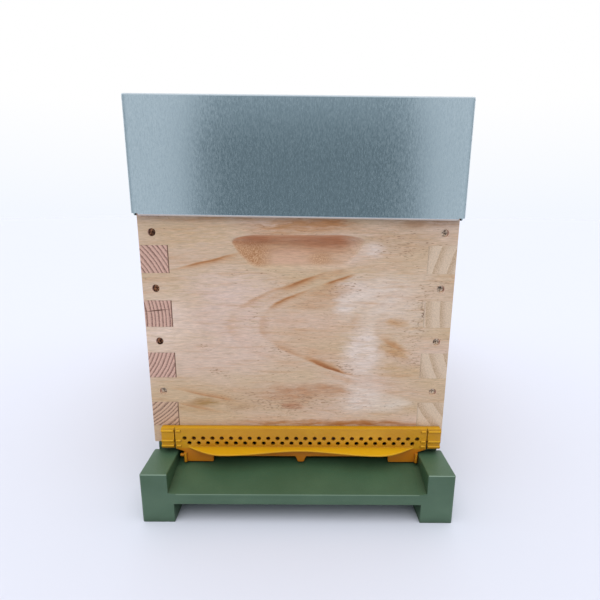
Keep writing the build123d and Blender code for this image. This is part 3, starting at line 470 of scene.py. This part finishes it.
def cuts_of_front(add, place, colour, fibre_shade):
    """The front board away from its planed face: the handhold, the screw holes with painted light and shade, and
    painted shade behind the reducer at its foot.
    """
    axes = add("SeparateXYZ", {0: place}).outputs
    depth = add("Math", {0: axes["Y"], 1: front_face * MM}, "SUBTRACT")
    inside = add("MapRange", {"Value": depth, "From Min": 0.1 * MM, "From Max": 1.2 * MM})
    sideways = add("Math", {0: axes["X"]}, "ABSOLUTE")
    at_hand = add("MapRange", {"Value": sideways, "From Min": (SCOOP_SIDE + 1) * MM, "From Max": SCOOP_SIDE * MM})
    scoop = add("Math", {0: inside, 1: at_hand}, "MULTIPLY")
    cloud = add("TexNoise", {"Vector": in_sizes(add, place, (26, 8, 4)), "Detail": 4.0})
    mottle = add("MapRange", {"Value": cloud, "From Min": 0.3, "From Max": 0.6, "To Min": 0.65, "To Max": 1.0})
    scooped = handhold_wood(add, place, axes, colour, scoop, mottle, fibre_shade)
    holes_from = SCREW_X - SCREW_HOLE
    at_screws = add("MapRange", {"Value": sideways, "From Min": holes_from * MM, "From Max": (holes_from + 0.5) * MM})
    hole = add("Math", {0: inside, 1: at_screws}, "MULTIPLY")
    # painted light and shade in the screw holes: pale walls at the right corner and the lowest left screw, dark walls
    # at the other left holes
    wall = add("Mix", {"Factor": lit_screws(add, place), "A": "#3C1D0E", "B": "#E2C8AE"})
    drilled = add("Mix", {"Factor": hole, "A": scooped, "B": wall})
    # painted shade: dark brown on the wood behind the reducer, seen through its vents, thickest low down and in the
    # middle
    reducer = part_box("entrance_reducer")[1]
    foot = add("MapRange", {"Value": axes["Z"], "From Min": reducer.z - 2 * MM, "From Max": reducer.z - 11 * MM})
    covered = add("MapRange", {"Value": sideways, "From Min": reducer.x - 4 * MM, "From Max": reducer.x - 24 * MM})
    behind_reducer = add("Math", {0: foot, 1: covered}, "MULTIPLY")
    painted_reducer_shade = add("Math", {0: behind_reducer, 1: mottle}, "MULTIPLY")
    return add("Mix", {"Factor": painted_reducer_shade, "A": drilled, "B": "#86512A"})


# Each board's wood: the axis of its grain; where the trunk's pith ran in mm, its taper and its wobble in mm; its
# rings as width in mm, unevenness and dark share; its colours; how much its lines show; its fingers' rims and crack.
NO_CRACK = (0, 0, 0.1, 0.1)
BACK_PINE = {
    "grain": "x", "pith": (0, back_face - 60, 230), "taper": -0.12, "wobble": 4.0, "rings": (6.5, 1.6, 0.25),
    "cream": "#CBAE8B", "pink": "#D5B9A2", "late": "#B58A64", "resin": "#8A5638", "end": "#D9B1A0",
    "end_ring": "#6E3428", "low_tint": (1.0, 1.0, 1.0), "faint": 0.2, "strong": 0.7, "rim": 0.9, "crack": NO_CRACK}
FRONT_PINE = {
    **BACK_PINE, "pith": (0, front_face + 74, 178), "taper": 0.17, "wobble": 2.0, "late": "#BC8656",
    "resin": "#9C6038", "faint": 0.03, "strong": 0.16}
LEFT_PINE = {
    **BACK_PINE, "grain": "y", "pith": (-211, 0, 182), "taper": 0.03, "wobble": 1.2, "rings": (3.5, 0.9, 0.27),
    "end_ring": "#4E1A10", "low_tint": (0.95, 0.99, 0.87), "crack": (-130.6, 192.2, 15, 0.8, 6)}
RIGHT_PINE = {
    **BACK_PINE, "grain": "y", "pith": (280, 0, 194), "taper": 0.03, "wobble": 1.2, "rings": (12.5, 0.8, 0.3),
    "end": "#D9C1A8", "end_ring": "#BC9E80", "rim": 0.25}
LIMEWOOD = {
    **BACK_PINE, "grain": "y", "pith": (40, 0, -300), "taper": 0.02, "wobble": 2.0, "rings": (3.2, 1.2, 0.3),
    "cream": "#DDC59C", "pink": "#D9BC92", "late": "#C39C6C", "strong": 0.6, "rim": 0.0}

dress(planed_wood("planed_pine_front", FRONT_PINE, front=True), "front_board")
dress(planed_wood("planed_pine_back", BACK_PINE), "back_board")
dress(planed_wood("planed_pine_left", LEFT_PINE), "left_side_board")
dress(planed_wood("planed_pine_right", RIGHT_PINE), "right_side_board")
level_limewood = planed_wood("planed_limewood", LIMEWOOD)
upright_limewood = planed_wood("planed_limewood_upright", {**LIMEWOOD, "grain": "z", "pith": (60, -500, 0)})


# Metal

HEM_SHADOW = 8.0         # painted shadow behind the roof's hem reaches this far up


def galvanised_sheet():
    """Hot-dip galvanised steel: bluish zinc that mirrors softly, with fine flecks along the rolling direction."""
    material, add = new_material("galvanised_steel")
    place = add("TexCoord").outputs["Object"]
    normal = add("NewGeometry").outputs["True Normal"]
    facing = add("SeparateXYZ", {0: normal}).outputs
    turned = add("SeparateXYZ", {0: add("VectorMath", {0: normal}, "ABSOLUTE")}).outputs
    on_skirt = add("MapRange", {"Value": turned["Y"], "From Min": 0.6, "From Max": 0.8})
    fleck_skirt = add("TexNoise", {"Vector": in_sizes(add, place, (0.85, 4, 2.6)), "Roughness": 0.6})
    fleck_top = add("TexNoise", {"Vector": in_sizes(add, place, (0.85, 2.6, 0.85)), "Roughness": 0.6})
    fleck = add("Mix", {"Factor": on_skirt, "A": fleck_top, "B": fleck_skirt}, data_type="FLOAT")
    colour = ramp_stops(add("ValToRGB", {"Fac": fleck}), [(0.3, "#A3B4BD"), (0.5, "#AEBFC8"), (0.7, "#B8C8D0")])
    rough = add("MapRange", {"Value": fleck, "From Min": 0.3, "From Max": 0.7, "To Min": 0.11, "To Max": 0.2})
    # the bends get a painted highlight, paler than the flats, and are rougher than them
    flattest = add("Math", {0: turned["X"], 1: turned["Y"]}, "MAXIMUM")
    flattest = add("Math", {0: flattest, 1: turned["Z"]}, "MAXIMUM")
    bend_highlight = add("MapRange", {"Value": flattest, "From Min": 0.995, "From Max": 0.97})
    colour = add("Mix", {"Factor": bend_highlight, "A": colour, "B": "#D6E0E6"})
    rough = add("Mix", {"Factor": bend_highlight, "A": rough, "B": 0.45}, data_type="FLOAT")
    # painted reflection: the hem's downward-facing fold is painted a pale warm grey
    painted_highlight = add("MapRange", {"Value": facing["Z"], "From Min": -0.1, "From Max": -0.35})
    colour = add("Mix", {"Factor": painted_highlight, "A": colour, "B": "#C9C0B7"})
    # painted shadow: the strip that the hem turns up inside is painted near black
    from_middle = add("VectorMath", {0: place, 1: (1, 1, 0)}, "MULTIPLY")
    outward = add("VectorMath", {0: from_middle, 1: normal}, "DOT_PRODUCT")
    inward = add("MapRange", {"Value": outward, "From Min": -5 * MM, "From Max": -20 * MM})
    height = add("SeparateXYZ", {0: place}).outputs["Z"]
    hem_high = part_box("roof_sheet")[0].z + HEM_SHADOW * MM
    at_hem = add("MapRange", {"Value": height, "From Min": hem_high, "From Max": hem_high - 1 * MM})
    painted_hem_shadow = add("Math", {0: inward, 1: at_hem}, "MULTIPLY")
    colour = add("Mix", {"Factor": painted_hem_shadow, "A": colour, "B": "#1B1917"})
    # the sheet isn't quite flat: slow waves, 70 mm long
    wave = add("TexNoise", {"Vector": in_sizes(add, place, (70, 70, 70)), "Detail": 1.0})
    waved = add("Bump", {"Strength": 0.3, "Distance": 0.5 * MM, "Height": wave})
    bump = add("Bump", {"Strength": 0.12, "Distance": 0.03 * MM, "Height": fleck, "Normal": waved})
    return surfaced(material, add, {"Base Color": colour, "Metallic": 1.0, "Roughness": rough, "Normal": bump})


def plain_metal(name, shade, roughness):
    """Bright or plated metal wire and heads: faint cloudy tarnish over an even metal."""
    material, add = new_material(name)
    colour = linear(shade)
    place = add("TexCoord").outputs["Object"]
    cloud = add("TexNoise", {"Vector": in_sizes(add, place, (2.5, 2.5, 2.5)), "Detail": 4.0})
    dull = [c * 0.6 for c in colour[:3]] + [1.0]
    tarnish = ramp_stops(add("ValToRGB", {"Fac": cloud}), [(0.3, dull), (0.65, colour)])
    rough = add("MapRange", {"Value": cloud, "To Min": roughness + 0.15, "To Max": roughness - 0.08})
    bump = add("Bump", {"Strength": 0.25, "Distance": 0.05 * MM, "Height": cloud})
    return surfaced(material, add, {"Base Color": tarnish, "Metallic": 1.0, "Roughness": rough, "Normal": bump})


def sunk_screw():
    """Zinc-plated screw heads: painted pale on the right corner and the lowest left screw, painted dark brown as
    shade on the other left heads.
    """
    material, add = new_material("zinc_plated_screw")
    place = add("TexCoord").outputs["Object"]
    lit_share = lit_screws(add, place)
    cloud = add("TexNoise", {"Vector": in_sizes(add, place, (1.6, 1.6, 1.6)), "Detail": 4.0})
    shaded_head = ramp_stops(add("ValToRGB", {"Fac": cloud}), [(0.45, "#45220F"), (0.58, "#C98F68")])
    lit_head = ramp_stops(add("ValToRGB", {"Fac": cloud}), [(0.4, "#6E5A48"), (0.52, "#EADCC8")])
    colour = add("Mix", {"Factor": lit_share, "A": shaded_head, "B": lit_head})
    rough = add("MapRange", {"Value": cloud, "To Min": 0.7, "To Max": 0.45})
    bump = add("Bump", {"Strength": 0.3, "Distance": 0.06 * MM, "Height": cloud})
    return surfaced(material, add, {"Base Color": colour, "Metallic": 0.15, "Roughness": rough, "Normal": bump})


zinc = galvanised_sheet()
dress(zinc, "roof_sheet", "front_frame_rest", "back_frame_rest")
dress(sunk_screw(), "front_corner_screws", "back_corner_screws")
dress(plain_metal("aluminium_rivet", "#C2C4C6", roughness=0.35), "roof_rivets")
nail_steel = plain_metal("bright_nail", "#A6A7A8", roughness=0.35)
wire_steel = plain_metal("tinned_wire", "#C4C6C8", roughness=0.25)
dress(nail_steel, "frame_rest_nails")


# The roof as it was folded: round bends, laps at the corners, and a hem that leans in and runs out of level

ROOF_SHEET = 0.6
BEND = 1.6              # radius of the upper bends
LAP = 22.0              # how far the laps reach along the sides
LAP_DROP = 3.2          # and how far below the top they start
SKIRT_INSET = 0.15      # the skirt stands this far inside the sheet's box, front and back
HEM_END = 6.0           # the hem stops this far from the corners
SKIRT_CUT = 1.9         # the skirt ends this far above the hem's lowest edge
HEM_REACH = 4.5         # what is this near to the hem slopes with it
TOP_REACH = 4.0         # and what is this near to the top with that
HEM_SLOPE = 0.0135      # radians: the right side hangs lower
TOP_SLOPE = 0.0083
HEM_STEPS = ((0.0, 0.6), (0.4, 0.9), (0.4, 0.4), (0.35, -0.3), (0.1, -5.0))     # inward and down


def choose(kind, test):
    """Selects the faces, edges or vertices of the piece in hand that pass a test."""
    bpy.ops.mesh.select_mode(type=kind)
    bpy.ops.mesh.select_all(action="DESELECT")
    mesh = bmesh.from_edit_mesh(bpy.context.edit_object.data)
    for item in {"FACE": mesh.faces, "EDGE": mesh.edges, "VERT": mesh.verts}[kind]:
        item.select_set(test(item))
    mesh.select_flush_mode()
    bmesh.update_edit_mesh(bpy.context.edit_object.data)


def edge_middle(edge):
    """The middle of an edge."""
    return (edge.verts[0].co + edge.verts[1].co) / 2


def lap_sides(front, back, top):
    """Sets the side panels a sheet's thickness behind the laps at their ends."""
    lap_front, lap_back, lap_high = front + LAP * MM, back - LAP * MM, top - LAP_DROP * MM
    for place, way in (((0, lap_front, 0), (0, 1, 0)), ((0, lap_back, 0), (0, 1, 0)), ((0, 0, lap_high), (0, 0, 1))):
        choose("FACE", lambda face: abs(face.normal.x) > 0.99)
        bpy.ops.mesh.bisect(plane_co=place, plane_no=way)

    def between_laps(face):
        at = face.calc_center_median()
        return abs(face.normal.x) > 0.99 and lap_front < at.y < lap_back and at.z < lap_high

    choose("FACE", between_laps)
    bpy.ops.mesh.extrude_region_shrink_fatten(TRANSFORM_OT_shrink_fatten={"value": -ROOF_SHEET * MM})


def turn_hems(front, back, side, skirt_low):
    """Turns the skirt's lower edges in and up again, short of the corners."""
    hem_front, hem_back, hem_side = front + HEM_END * MM, back - HEM_END * MM, side - HEM_END * MM
    for x in (-hem_side, hem_side):
        choose("FACE", lambda face: abs(face.normal.y) > 0.99)
        bpy.ops.mesh.bisect(plane_co=(x, 0, 0), plane_no=(1, 0, 0))
    for y in (hem_front, hem_back):
        choose("FACE", lambda face: abs(face.normal.x) > 0.99)
        bpy.ops.mesh.bisect(plane_co=(0, y, 0), plane_no=(0, 1, 0))
    for x, y in ((0, -1), (0, 1), (-1, 0), (1, 0)):

        def on_hem(edge):
            at = edge_middle(edge)
            if abs(at.z - skirt_low) > 0.1 * MM or not edge.is_boundary:
                return False
            if x:
                return x * at.x > side - 2 * MM and hem_front < at.y < hem_back
            return abs(at.x) < hem_side and abs(at.y - (front if y < 0 else back)) < 1 * MM

        choose("EDGE", on_hem)
        for inward, down in HEM_STEPS:
            step = (-x * inward * MM, -y * inward * MM, -down * MM)
            bpy.ops.mesh.extrude_region_move(TRANSFORM_OT_translate={"value": step})


def folded_roof():
    """The roof's sheet, folded from a box."""
    low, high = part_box("roof_sheet")
    front, back, side = low.y + SKIRT_INSET * MM, high.y - SKIRT_INSET * MM, high.x
    skirt_low = low.z + SKIRT_CUT * MM
    bpy.ops.object.select_all(action="DESELECT")
    bpy.ops.mesh.primitive_cube_add(size=1, location=(0, (front + back) / 2, (skirt_low + high.z) / 2))
    roof = bpy.context.object
    roof.name = "folded_roof"
    roof.scale = (2 * side, back - front, high.z - skirt_low)
    bpy.ops.object.transform_apply()
    bpy.ops.object.mode_set(mode="EDIT")
    choose("FACE", lambda face: face.normal.z < -0.5)
    bpy.ops.mesh.delete(type="FACE")
    choose("EDGE", lambda edge: edge_middle(edge).z > skirt_low + 1 * MM)
    bpy.ops.mesh.bevel(offset=BEND * MM, segments=4, affect="EDGES")
    lap_sides(front, back, high.z)
    turn_hems(front, back, side, skirt_low)
    # the whole roof sits a little askew: its left side stands higher
    choose("VERT", lambda vertex: vertex.co.z > high.z - TOP_REACH * MM)
    bpy.ops.transform.rotate(value=-TOP_SLOPE, orient_axis="Y", center_override=(side, 0, high.z))
    choose("VERT", lambda vertex: vertex.co.z < skirt_low + HEM_REACH * MM)
    bpy.ops.transform.rotate(value=-HEM_SLOPE, orient_axis="Y", center_override=(0, 0, skirt_low))
    bpy.ops.object.mode_set(mode="OBJECT")
    sheet = roof.modifiers.new("sheet", "SOLIDIFY")
    sheet.thickness = ROOF_SHEET * MM
    sheet.offset = -1
    bpy.ops.object.modifier_apply(modifier="sheet")
    bpy.ops.object.shade_smooth_by_angle(angle=math.radians(30))
    roof.data.materials.append(zinc)
    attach(roof, "roof")
    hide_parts("roof_sheet")


folded_roof()


# Moulded plastic

BAY_SIDE = 118.5        # half the bay between the floor's front blocks
BAY_SHADE = (0.72, 0.79, 0.68)
CANOPY_LOW = 55.5       # the reducer's plate gets painted shade below its canopy
PLATE_DEPTH = 8.0       # and stands this far before the front board
CANOPY_SHADE = (0.92, 0.64, 0.58)


def moulded(name, shades, corner_shade, roughness=0.42, grit_mm=0.8, sheen=0.5, glow=0.0, finish=None):
    """Injection-moulded polypropylene: clouded colour, matt grit, arrises that catch light, painted shade in corners.
    """
    material, add = new_material(name)
    place = add("TexCoord").outputs["Object"]
    cloud = add("TexNoise", {"Vector": in_sizes(add, place, (45, 45, 30)), "Detail": 3.0})
    grit = add("TexNoise", {"Vector": in_sizes(add, place, (grit_mm,) * 3)})
    mixed = add("Mix", {"Factor": 0.35, "A": cloud, "B": grit}, data_type="FLOAT")
    dark, middle, light = shades
    colour = ramp_stops(add("ValToRGB", {"Fac": mixed}), [(0.3, dark), (0.5, middle), (0.7, light)])
    if finish:
        colour = finish(add, place, colour)
    # painted shade: the colour darkens to the corner shade where ambient occlusion finds corners and crevices
    open_share = add("AmbientOcclusion", {"Distance": 11 * MM}, samples=6).outputs["AO"]
    corner = add("MapRange", {"Value": open_share, "From Min": 0.8, "From Max": 0.25, "To Max": 0.75})
    colour = add("Mix", {"Factor": corner, "A": colour, "B": corner_shade})
    rough = add("MapRange", {
        "Value": mixed, "From Min": 0.3, "From Max": 0.7, "To Min": roughness + 0.07, "To Max": roughness - 0.07})
    arris = add("Bevel", {"Radius": 1.1 * MM}, samples=4)
    bump = add("Bump", {"Strength": 0.2, "Distance": 0.06 * MM, "Height": grit, "Normal": arris})
    return surfaced(material, add, {
        "Base Color": colour, "Roughness": rough, "Normal": bump, "IOR": 1.49, "Specular IOR Level": sheen,
        "Subsurface Weight": glow, "Subsurface Radius": (1.0, 0.35, 0.06), "Subsurface Scale": 2 * MM})


def deep_landing(add, place, colour):
    """The floor's front: a deeper green in the bay, and a painted highlight on its upper arrises."""
    axes = add("SeparateXYZ", {0: place}).outputs
    across = add("Math", {0: axes["X"]}, "ABSOLUTE")
    in_bay = add("MapRange", {"Value": across, "From Min": (BAY_SIDE + 0.6) * MM, "From Max": BAY_SIDE * MM})
    behind_lip = add("MapRange", {
        "Value": axes["Y"], "From Min": floor_front * MM, "From Max": (floor_front + 0.8) * MM})
    deep = add("Math", {0: in_bay, 1: behind_lip}, "MULTIPLY")
    deeper = add("VectorMath", {0: colour, 1: BAY_SHADE}, "MULTIPLY")
    landing = add("Mix", {"Factor": deep, "A": colour, "B": deeper})
    # an arris between top and front faces both ways at once
    facing = add("SeparateXYZ", {0: add("NewGeometry").outputs["True Normal"]}).outputs
    both_ways = add("Math", {0: facing["Y"], 1: facing["Z"]}, "MULTIPLY")
    arris = add("MapRange", {"Value": both_ways, "From Min": -0.25, "From Max": -0.4})
    # painted highlight on the arrises between top and front faces, weaker in the bay
    highlight_strength = add("MapRange", {"Value": in_bay, "To Min": 0.42, "To Max": 0.2})
    painted_highlight = add("Math", {0: arris, 1: highlight_strength}, "MULTIPLY")
    return add("Mix", {"Factor": painted_highlight, "A": landing, "B": "#A9BDAE"})


def reducer_painted_light(add, place, colour):
    """The reducer's painted light and shade: a clearer yellow where it leans to the sky, a darker brown under its
    canopy.
    """
    normal = add("NewGeometry").outputs["True Normal"]
    up = add("SeparateXYZ", {0: normal}).outputs["Z"]
    # painted light: faces that lean up are mixed towards a clearer yellow
    leaning = add("MapRange", {"Value": up, "From Min": 0.05, "From Max": 0.5, "To Max": 0.45})
    sky_lit = add("Mix", {"Factor": leaning, "A": colour, "B": "#DCAF12"})
    axes = add("SeparateXYZ", {0: place}).outputs
    # painted shade on the plate below the canopy
    low = add("MapRange", {"Value": axes["Z"], "From Min": CANOPY_LOW * MM, "From Max": (CANOPY_LOW - 2) * MM})
    on_plate = add("MapRange", {
        "Value": axes["Y"], "From Min": (front_face - PLATE_DEPTH - 1) * MM,
        "From Max": (front_face - PLATE_DEPTH) * MM})
    under_canopy = add("Math", {0: low, 1: on_plate}, "MULTIPLY")
    canopy_shaded = add("VectorMath", {0: sky_lit, 1: CANOPY_SHADE}, "MULTIPLY")
    return add("Mix", {"Factor": under_canopy, "A": sky_lit, "B": canopy_shaded})


green = moulded("moulded_green_polypropylene", ("#3E5B42", "#46624B", "#516D55"), "#24341F", finish=deep_landing)
yellow = moulded(
    "moulded_yellow_polypropylene", ("#C0840E", "#CA9012", "#D49B1A"), "#8A420A", roughness=0.36, grit_mm=0.7,
    sheen=0.35, glow=0.05, finish=reducer_painted_light)
off_white = moulded("moulded_white_polypropylene", ("#D4D4CC", "#DCDCD5", "#E3E3DC"), "#A8A79C")
dress(green, "floor_tray", "floor_grille")
dress(yellow, "entrance_reducer", "feed_hole_plug")
dress(off_white, "inspection_tray")


# Crown board and frames


def birch_plywood():
    """Birch plywood: pale figured veneers, and at the edge three plies, the middle one across and darker."""
    material, add = new_material("birch_plywood")
    place = add("TexCoord").outputs["Object"]
    height = add("SeparateXYZ", {0: place}).outputs["Z"]
    share = add("MapRange", {"Value": height, "From Min": crown_low, "From Max": crown_high})
    core = ramp_stops(add("ValToRGB", {"Fac": share}), [(0.0, 0.0), (0.33, 1.0), (0.67, 0.0)])
    core.color_ramp.interpolation = "CONSTANT"
    figure = add("TexNoise", {"Vector": in_sizes(add, place, (7, 90, 7)), "Detail": 4.0, "Distortion": 0.6})
    fleck = add("TexNoise", {"Vector": in_sizes(add, place, (0.6, 9, 0.6))})
    mixed = add("Mix", {"Factor": 0.4, "A": figure, "B": fleck}, data_type="FLOAT")
    veneer = ramp_stops(add("ValToRGB", {"Fac": mixed}), [(0.3, "#B8946A"), (0.5, "#CDAE84"), (0.7, "#DBC19A")])
    pores = add("TexNoise", {"Vector": in_sizes(add, place, (0.8, 0.8, 0.5))})
    middle = ramp_stops(add("ValToRGB", {"Fac": pores}), [(0.3, "#7D5B3B"), (0.7, "#A78258")])
    colour = add("Mix", {"Factor": core, "A": veneer, "B": middle})
    bump = add("Bump", {"Strength": 0.25, "Distance": 0.08 * MM, "Height": fleck})
    return surfaced(material, add, {"Base Color": colour, "Roughness": 0.6, "Normal": bump})


def beeswax():
    """Rolled beeswax foundation: honey-coloured, clouded, and slightly let through by light."""
    material, add = new_material("rolled_beeswax")
    place = add("TexCoord").outputs["Object"]
    cloud = add("TexNoise", {"Vector": in_sizes(add, place, (40, 40, 40)), "Detail": 4.0})
    colour = ramp_stops(add("ValToRGB", {"Fac": cloud}), [(0.3, "#CF9F45"), (0.7, "#DDB25C")])
    return surfaced(material, add, {
        "Base Color": colour, "Roughness": 0.45, "Subsurface Weight": 0.25, "Subsurface Scale": 2 * MM, "IOR": 1.44})


CELL = 5.4              # a worker cell, flat to flat
CELL_PRESS = 0.65       # how deep the roller presses a cell's middle
WAX_SHEET = 0.8
CELL_MERGE = 0.05       # corners of neighbouring cells nearer than this become one
FRAMES = range(1, 7)


def pressed_sheet(low, high):
    """A foundation sheet: six-sided cells rolled into wax."""
    corner = CELL / math.sqrt(3)
    middle_x = (low.x + high.x) / 2
    bpy.ops.object.select_all(action="DESELECT")
    bpy.ops.mesh.primitive_circle_add(
        vertices=6, radius=corner * MM, fill_type="TRIFAN", location=(middle_x, low.y, low.z),
        rotation=(math.radians(90), 0, math.radians(90)))
    bpy.ops.object.transform_apply()
    sheet = bpy.context.object
    sheet.name = "pressed_foundation_1"
    bpy.ops.object.mode_set(mode="EDIT")
    choose("VERT", lambda vertex: abs(vertex.co.y - low.y) < 0.1 * MM and abs(vertex.co.z - low.z) < 0.1 * MM)
    bpy.ops.transform.translate(value=(CELL_PRESS * MM, 0, 0))
    # the next row of cells stands half a cell further along
    choose("FACE", lambda face: True)
    bpy.ops.mesh.duplicate_move(TRANSFORM_OT_translate={"value": (0, CELL / 2 * MM, 1.5 * corner * MM)})
    bpy.ops.object.mode_set(mode="OBJECT")
    rows = math.ceil((high.z - low.z) / (3 * corner * MM)) + 1
    columns = math.ceil((high.y - low.y) / (CELL * MM)) + 1
    for count, step in ((columns, (0, CELL * MM, 0)), (rows, (0, 0, 3 * corner * MM))):
        array = sheet.modifiers.new("cells", "ARRAY")
        array.count = count
        array.use_relative_offset = False
        array.use_constant_offset = True
        array.constant_offset_displace = step
        array.use_merge_vertices = True
        array.merge_threshold = CELL_MERGE * MM
        bpy.ops.object.modifier_apply(modifier="cells")
    bpy.ops.object.mode_set(mode="EDIT")
    bpy.ops.mesh.select_all(action="SELECT")
    bpy.ops.mesh.remove_doubles(threshold=CELL_MERGE * MM)
    for place, way in ((low, (0, -1, 0)), (low, (0, 0, -1)), (high, (0, 1, 0)), (high, (0, 0, 1))):
        bpy.ops.mesh.select_all(action="SELECT")
        bpy.ops.mesh.bisect(plane_co=place, plane_no=way, clear_outer=True)
    bpy.ops.object.mode_set(mode="OBJECT")
    wall = sheet.modifiers.new("wall", "SOLIDIFY")
    wall.thickness = WAX_SHEET * MM
    wall.offset = 0
    bpy.ops.object.modifier_apply(modifier="wall")
    bpy.ops.object.mode_set(mode="EDIT")
    bpy.ops.mesh.select_all(action="SELECT")
    bpy.ops.mesh.normals_make_consistent(inside=False)
    bpy.ops.transform.translate(value=(-CELL_PRESS / 2 * MM, 0, 0))
    bpy.ops.object.mode_set(mode="OBJECT")
    return sheet


def wax_sheets(wax):
    """Foundation sheets: one modelled, and copied to each frame."""
    low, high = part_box("frame_1_foundation")
    sheet = pressed_sheet(low, high)
    sheet.data.materials.append(wax)
    for number in FRAMES:
        piece = sheet
        if number > 1:
            there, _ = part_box(f"frame_{number}_foundation")
            bpy.ops.object.select_all(action="DESELECT")
            sheet.select_set(True)
            bpy.context.view_layer.objects.active = sheet
            bpy.ops.object.duplicate_move(TRANSFORM_OT_translate={"value": (there.x - low.x, 0, 0)})
            piece = bpy.context.object
            bpy.ops.object.transform_apply()
            piece.name = f"pressed_foundation_{number}"
        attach(piece, f"frame_{number}")
        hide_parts(f"frame_{number}_foundation")


wax = beeswax()
dress(birch_plywood(), "crown_board")
for number in FRAMES:
    dress(level_limewood, f"frame_{number}_top_bar", f"frame_{number}_bottom_bar")
    dress(upright_limewood, f"frame_{number}_end_bars")
    dress(wax, f"frame_{number}_foundation")
    dress(wire_steel, f"frame_{number}_wires")
    dress(nail_steel, f"frame_{number}_nails")
wax_sheets(wax)


# Stage: pale floor, light tent, overhead lamp and camera

FLOOR_SIZE = 24.0
FLOOR_FRONT = 1.5           # the tabletop ends behind the camera
FLOOR_COLOUR = "#D7DAE5"
FAR_COLOUR = "#F4F8FF"      # the background low down, like the floor's far edge
GAP_LIGHT = 0.31
GAP_SHIFT = 0.013           # the gap stands a little right of the middle, as a share of its distance
WALL_LIGHT = 0.88
DIM_WALL_LIGHT = 0.3
BACK_LIGHT = 1.1
ROOF_LIGHT = 1.0
TENT_WALL = ((0, GAP_LIGHT), (14, GAP_LIGHT), (16.8, WALL_LIGHT), (31, WALL_LIGHT), (40, DIM_WALL_LIGHT),
             (62, DIM_WALL_LIGHT), (84, BACK_LIGHT))    # degrees round from the gap, and the light there
LAMP_POWER = 1.25
LAMP_SPREAD = 62            # degrees
LAMP_TILT = 18
LENS = 24.0                 # the camera's lens and sensor in mm, its place, and its turns in degrees
SENSOR = 36.0
CAMERA_PLACE = (0.00266, -0.5923, 0.28144)
CAMERA_TURNS = (77.624, -0.167, 0.176)


def pale_floor():
    """A plain pale tabletop that runs out of sight."""
    bpy.ops.object.select_all(action="DESELECT")
    bpy.ops.mesh.primitive_plane_add(size=FLOOR_SIZE, location=(0, FLOOR_SIZE / 2 - FLOOR_FRONT, 0))
    floor = bpy.context.object
    floor.name = "pale_floor"
    material, add = new_material("pale_paper")
    paper = surfaced(material, add, {"Base Color": FLOOR_COLOUR, "Roughness": 0.85, "Specular IOR Level": 0.15})
    floor.data.materials.append(paper)


def light_tent():
    """Light from a white tent: bright behind and overhead, dim at the gap that the picture is taken through."""
    world = bpy.data.worlds.new("light_tent")
    world.use_nodes = True
    add = node_adder(world.node_tree)
    way = add("SeparateXYZ", {0: add("TexCoord").outputs["Generated"]}).outputs
    ahead = add("Math", {0: way["Y"], 1: -1.0}, "MULTIPLY")
    from_gap = add("Math", {0: ahead, 1: -GAP_SHIFT, 2: way["X"]}, "MULTIPLY_ADD")
    aside = add("Math", {0: from_gap}, "ABSOLUTE")
    bearing = add("Math", {0: aside, 1: ahead}, "ARCTAN2")
    degrees = add("Math", {0: bearing}, "DEGREES")
    round_share = add("MapRange", {"Value": degrees, "From Max": 180.0})
    wall = ramp_stops(add("ValToRGB", {"Fac": round_share}), [(turn / 180, light) for turn, light in TENT_WALL])
    to_top = add("MapRange", {"Value": way["Z"], "From Min": 0.21, "From Max": 0.85}, interpolation_type="SMOOTHSTEP")
    level = add("Mix", {"Factor": to_top, "A": wall, "B": ROOF_LIGHT}, data_type="FLOAT")
    # the room beyond the gap is bluer than the tent
    tint = add("Mix", {"Factor": level, "A": (0.78, 1.0, 1.1, 1.0), "B": (1.0, 1.0, 1.03, 1.0)})
    cool = add("VectorMath", {0: tint, "Scale": level}, "SCALE")
    lit = add("Background", {"Color": cool})
    rise = add("MapRange", {"Value": way["Z"], "From Min": 0.0, "From Max": 0.22})
    backdrop = add("Mix", {"Factor": rise, "A": FAR_COLOUR, "B": "#FFFFFF"})
    seen = add("Background", {"Color": backdrop})
    is_camera = add("LightPath").outputs["Is Camera Ray"]
    both = add("MixShader", {0: is_camera, 1: lit, 2: seen})
    add("OutputWorld", {"Surface": both})
    bpy.context.scene.world = world


def overhead_lamp():
    """A large soft lamp above and a little in front of the hive, too diffuse for the roof to mirror its outline."""
    lamp = bpy.data.lights.new("overhead_lamp", "SUN")
    lamp.energy = LAMP_POWER
    lamp.angle = math.radians(LAMP_SPREAD)
    holder = bpy.data.objects.new("overhead_lamp", lamp)
    holder.rotation_euler = (math.radians(LAMP_TILT), 0, 0)
    holder.visible_glossy = False
    bpy.context.scene.collection.objects.link(holder)


def picture_camera():
    """The camera of the picture: close in front of the hive, a little above its middle, wide lens."""
    lens = bpy.data.cameras.new("picture_camera")
    lens.lens = LENS
    lens.sensor_width = SENSOR
    lens.clip_start = 0.01
    camera = bpy.data.objects.new("picture_camera", lens)
    camera.location = CAMERA_PLACE
    camera.rotation_euler = [math.radians(turn) for turn in CAMERA_TURNS]
    bpy.context.scene.collection.objects.link(camera)
    bpy.context.scene.camera = camera


pale_floor()
light_tent()
overhead_lamp()
picture_camera()
bpy.context.scene.view_settings.view_transform = "Standard"
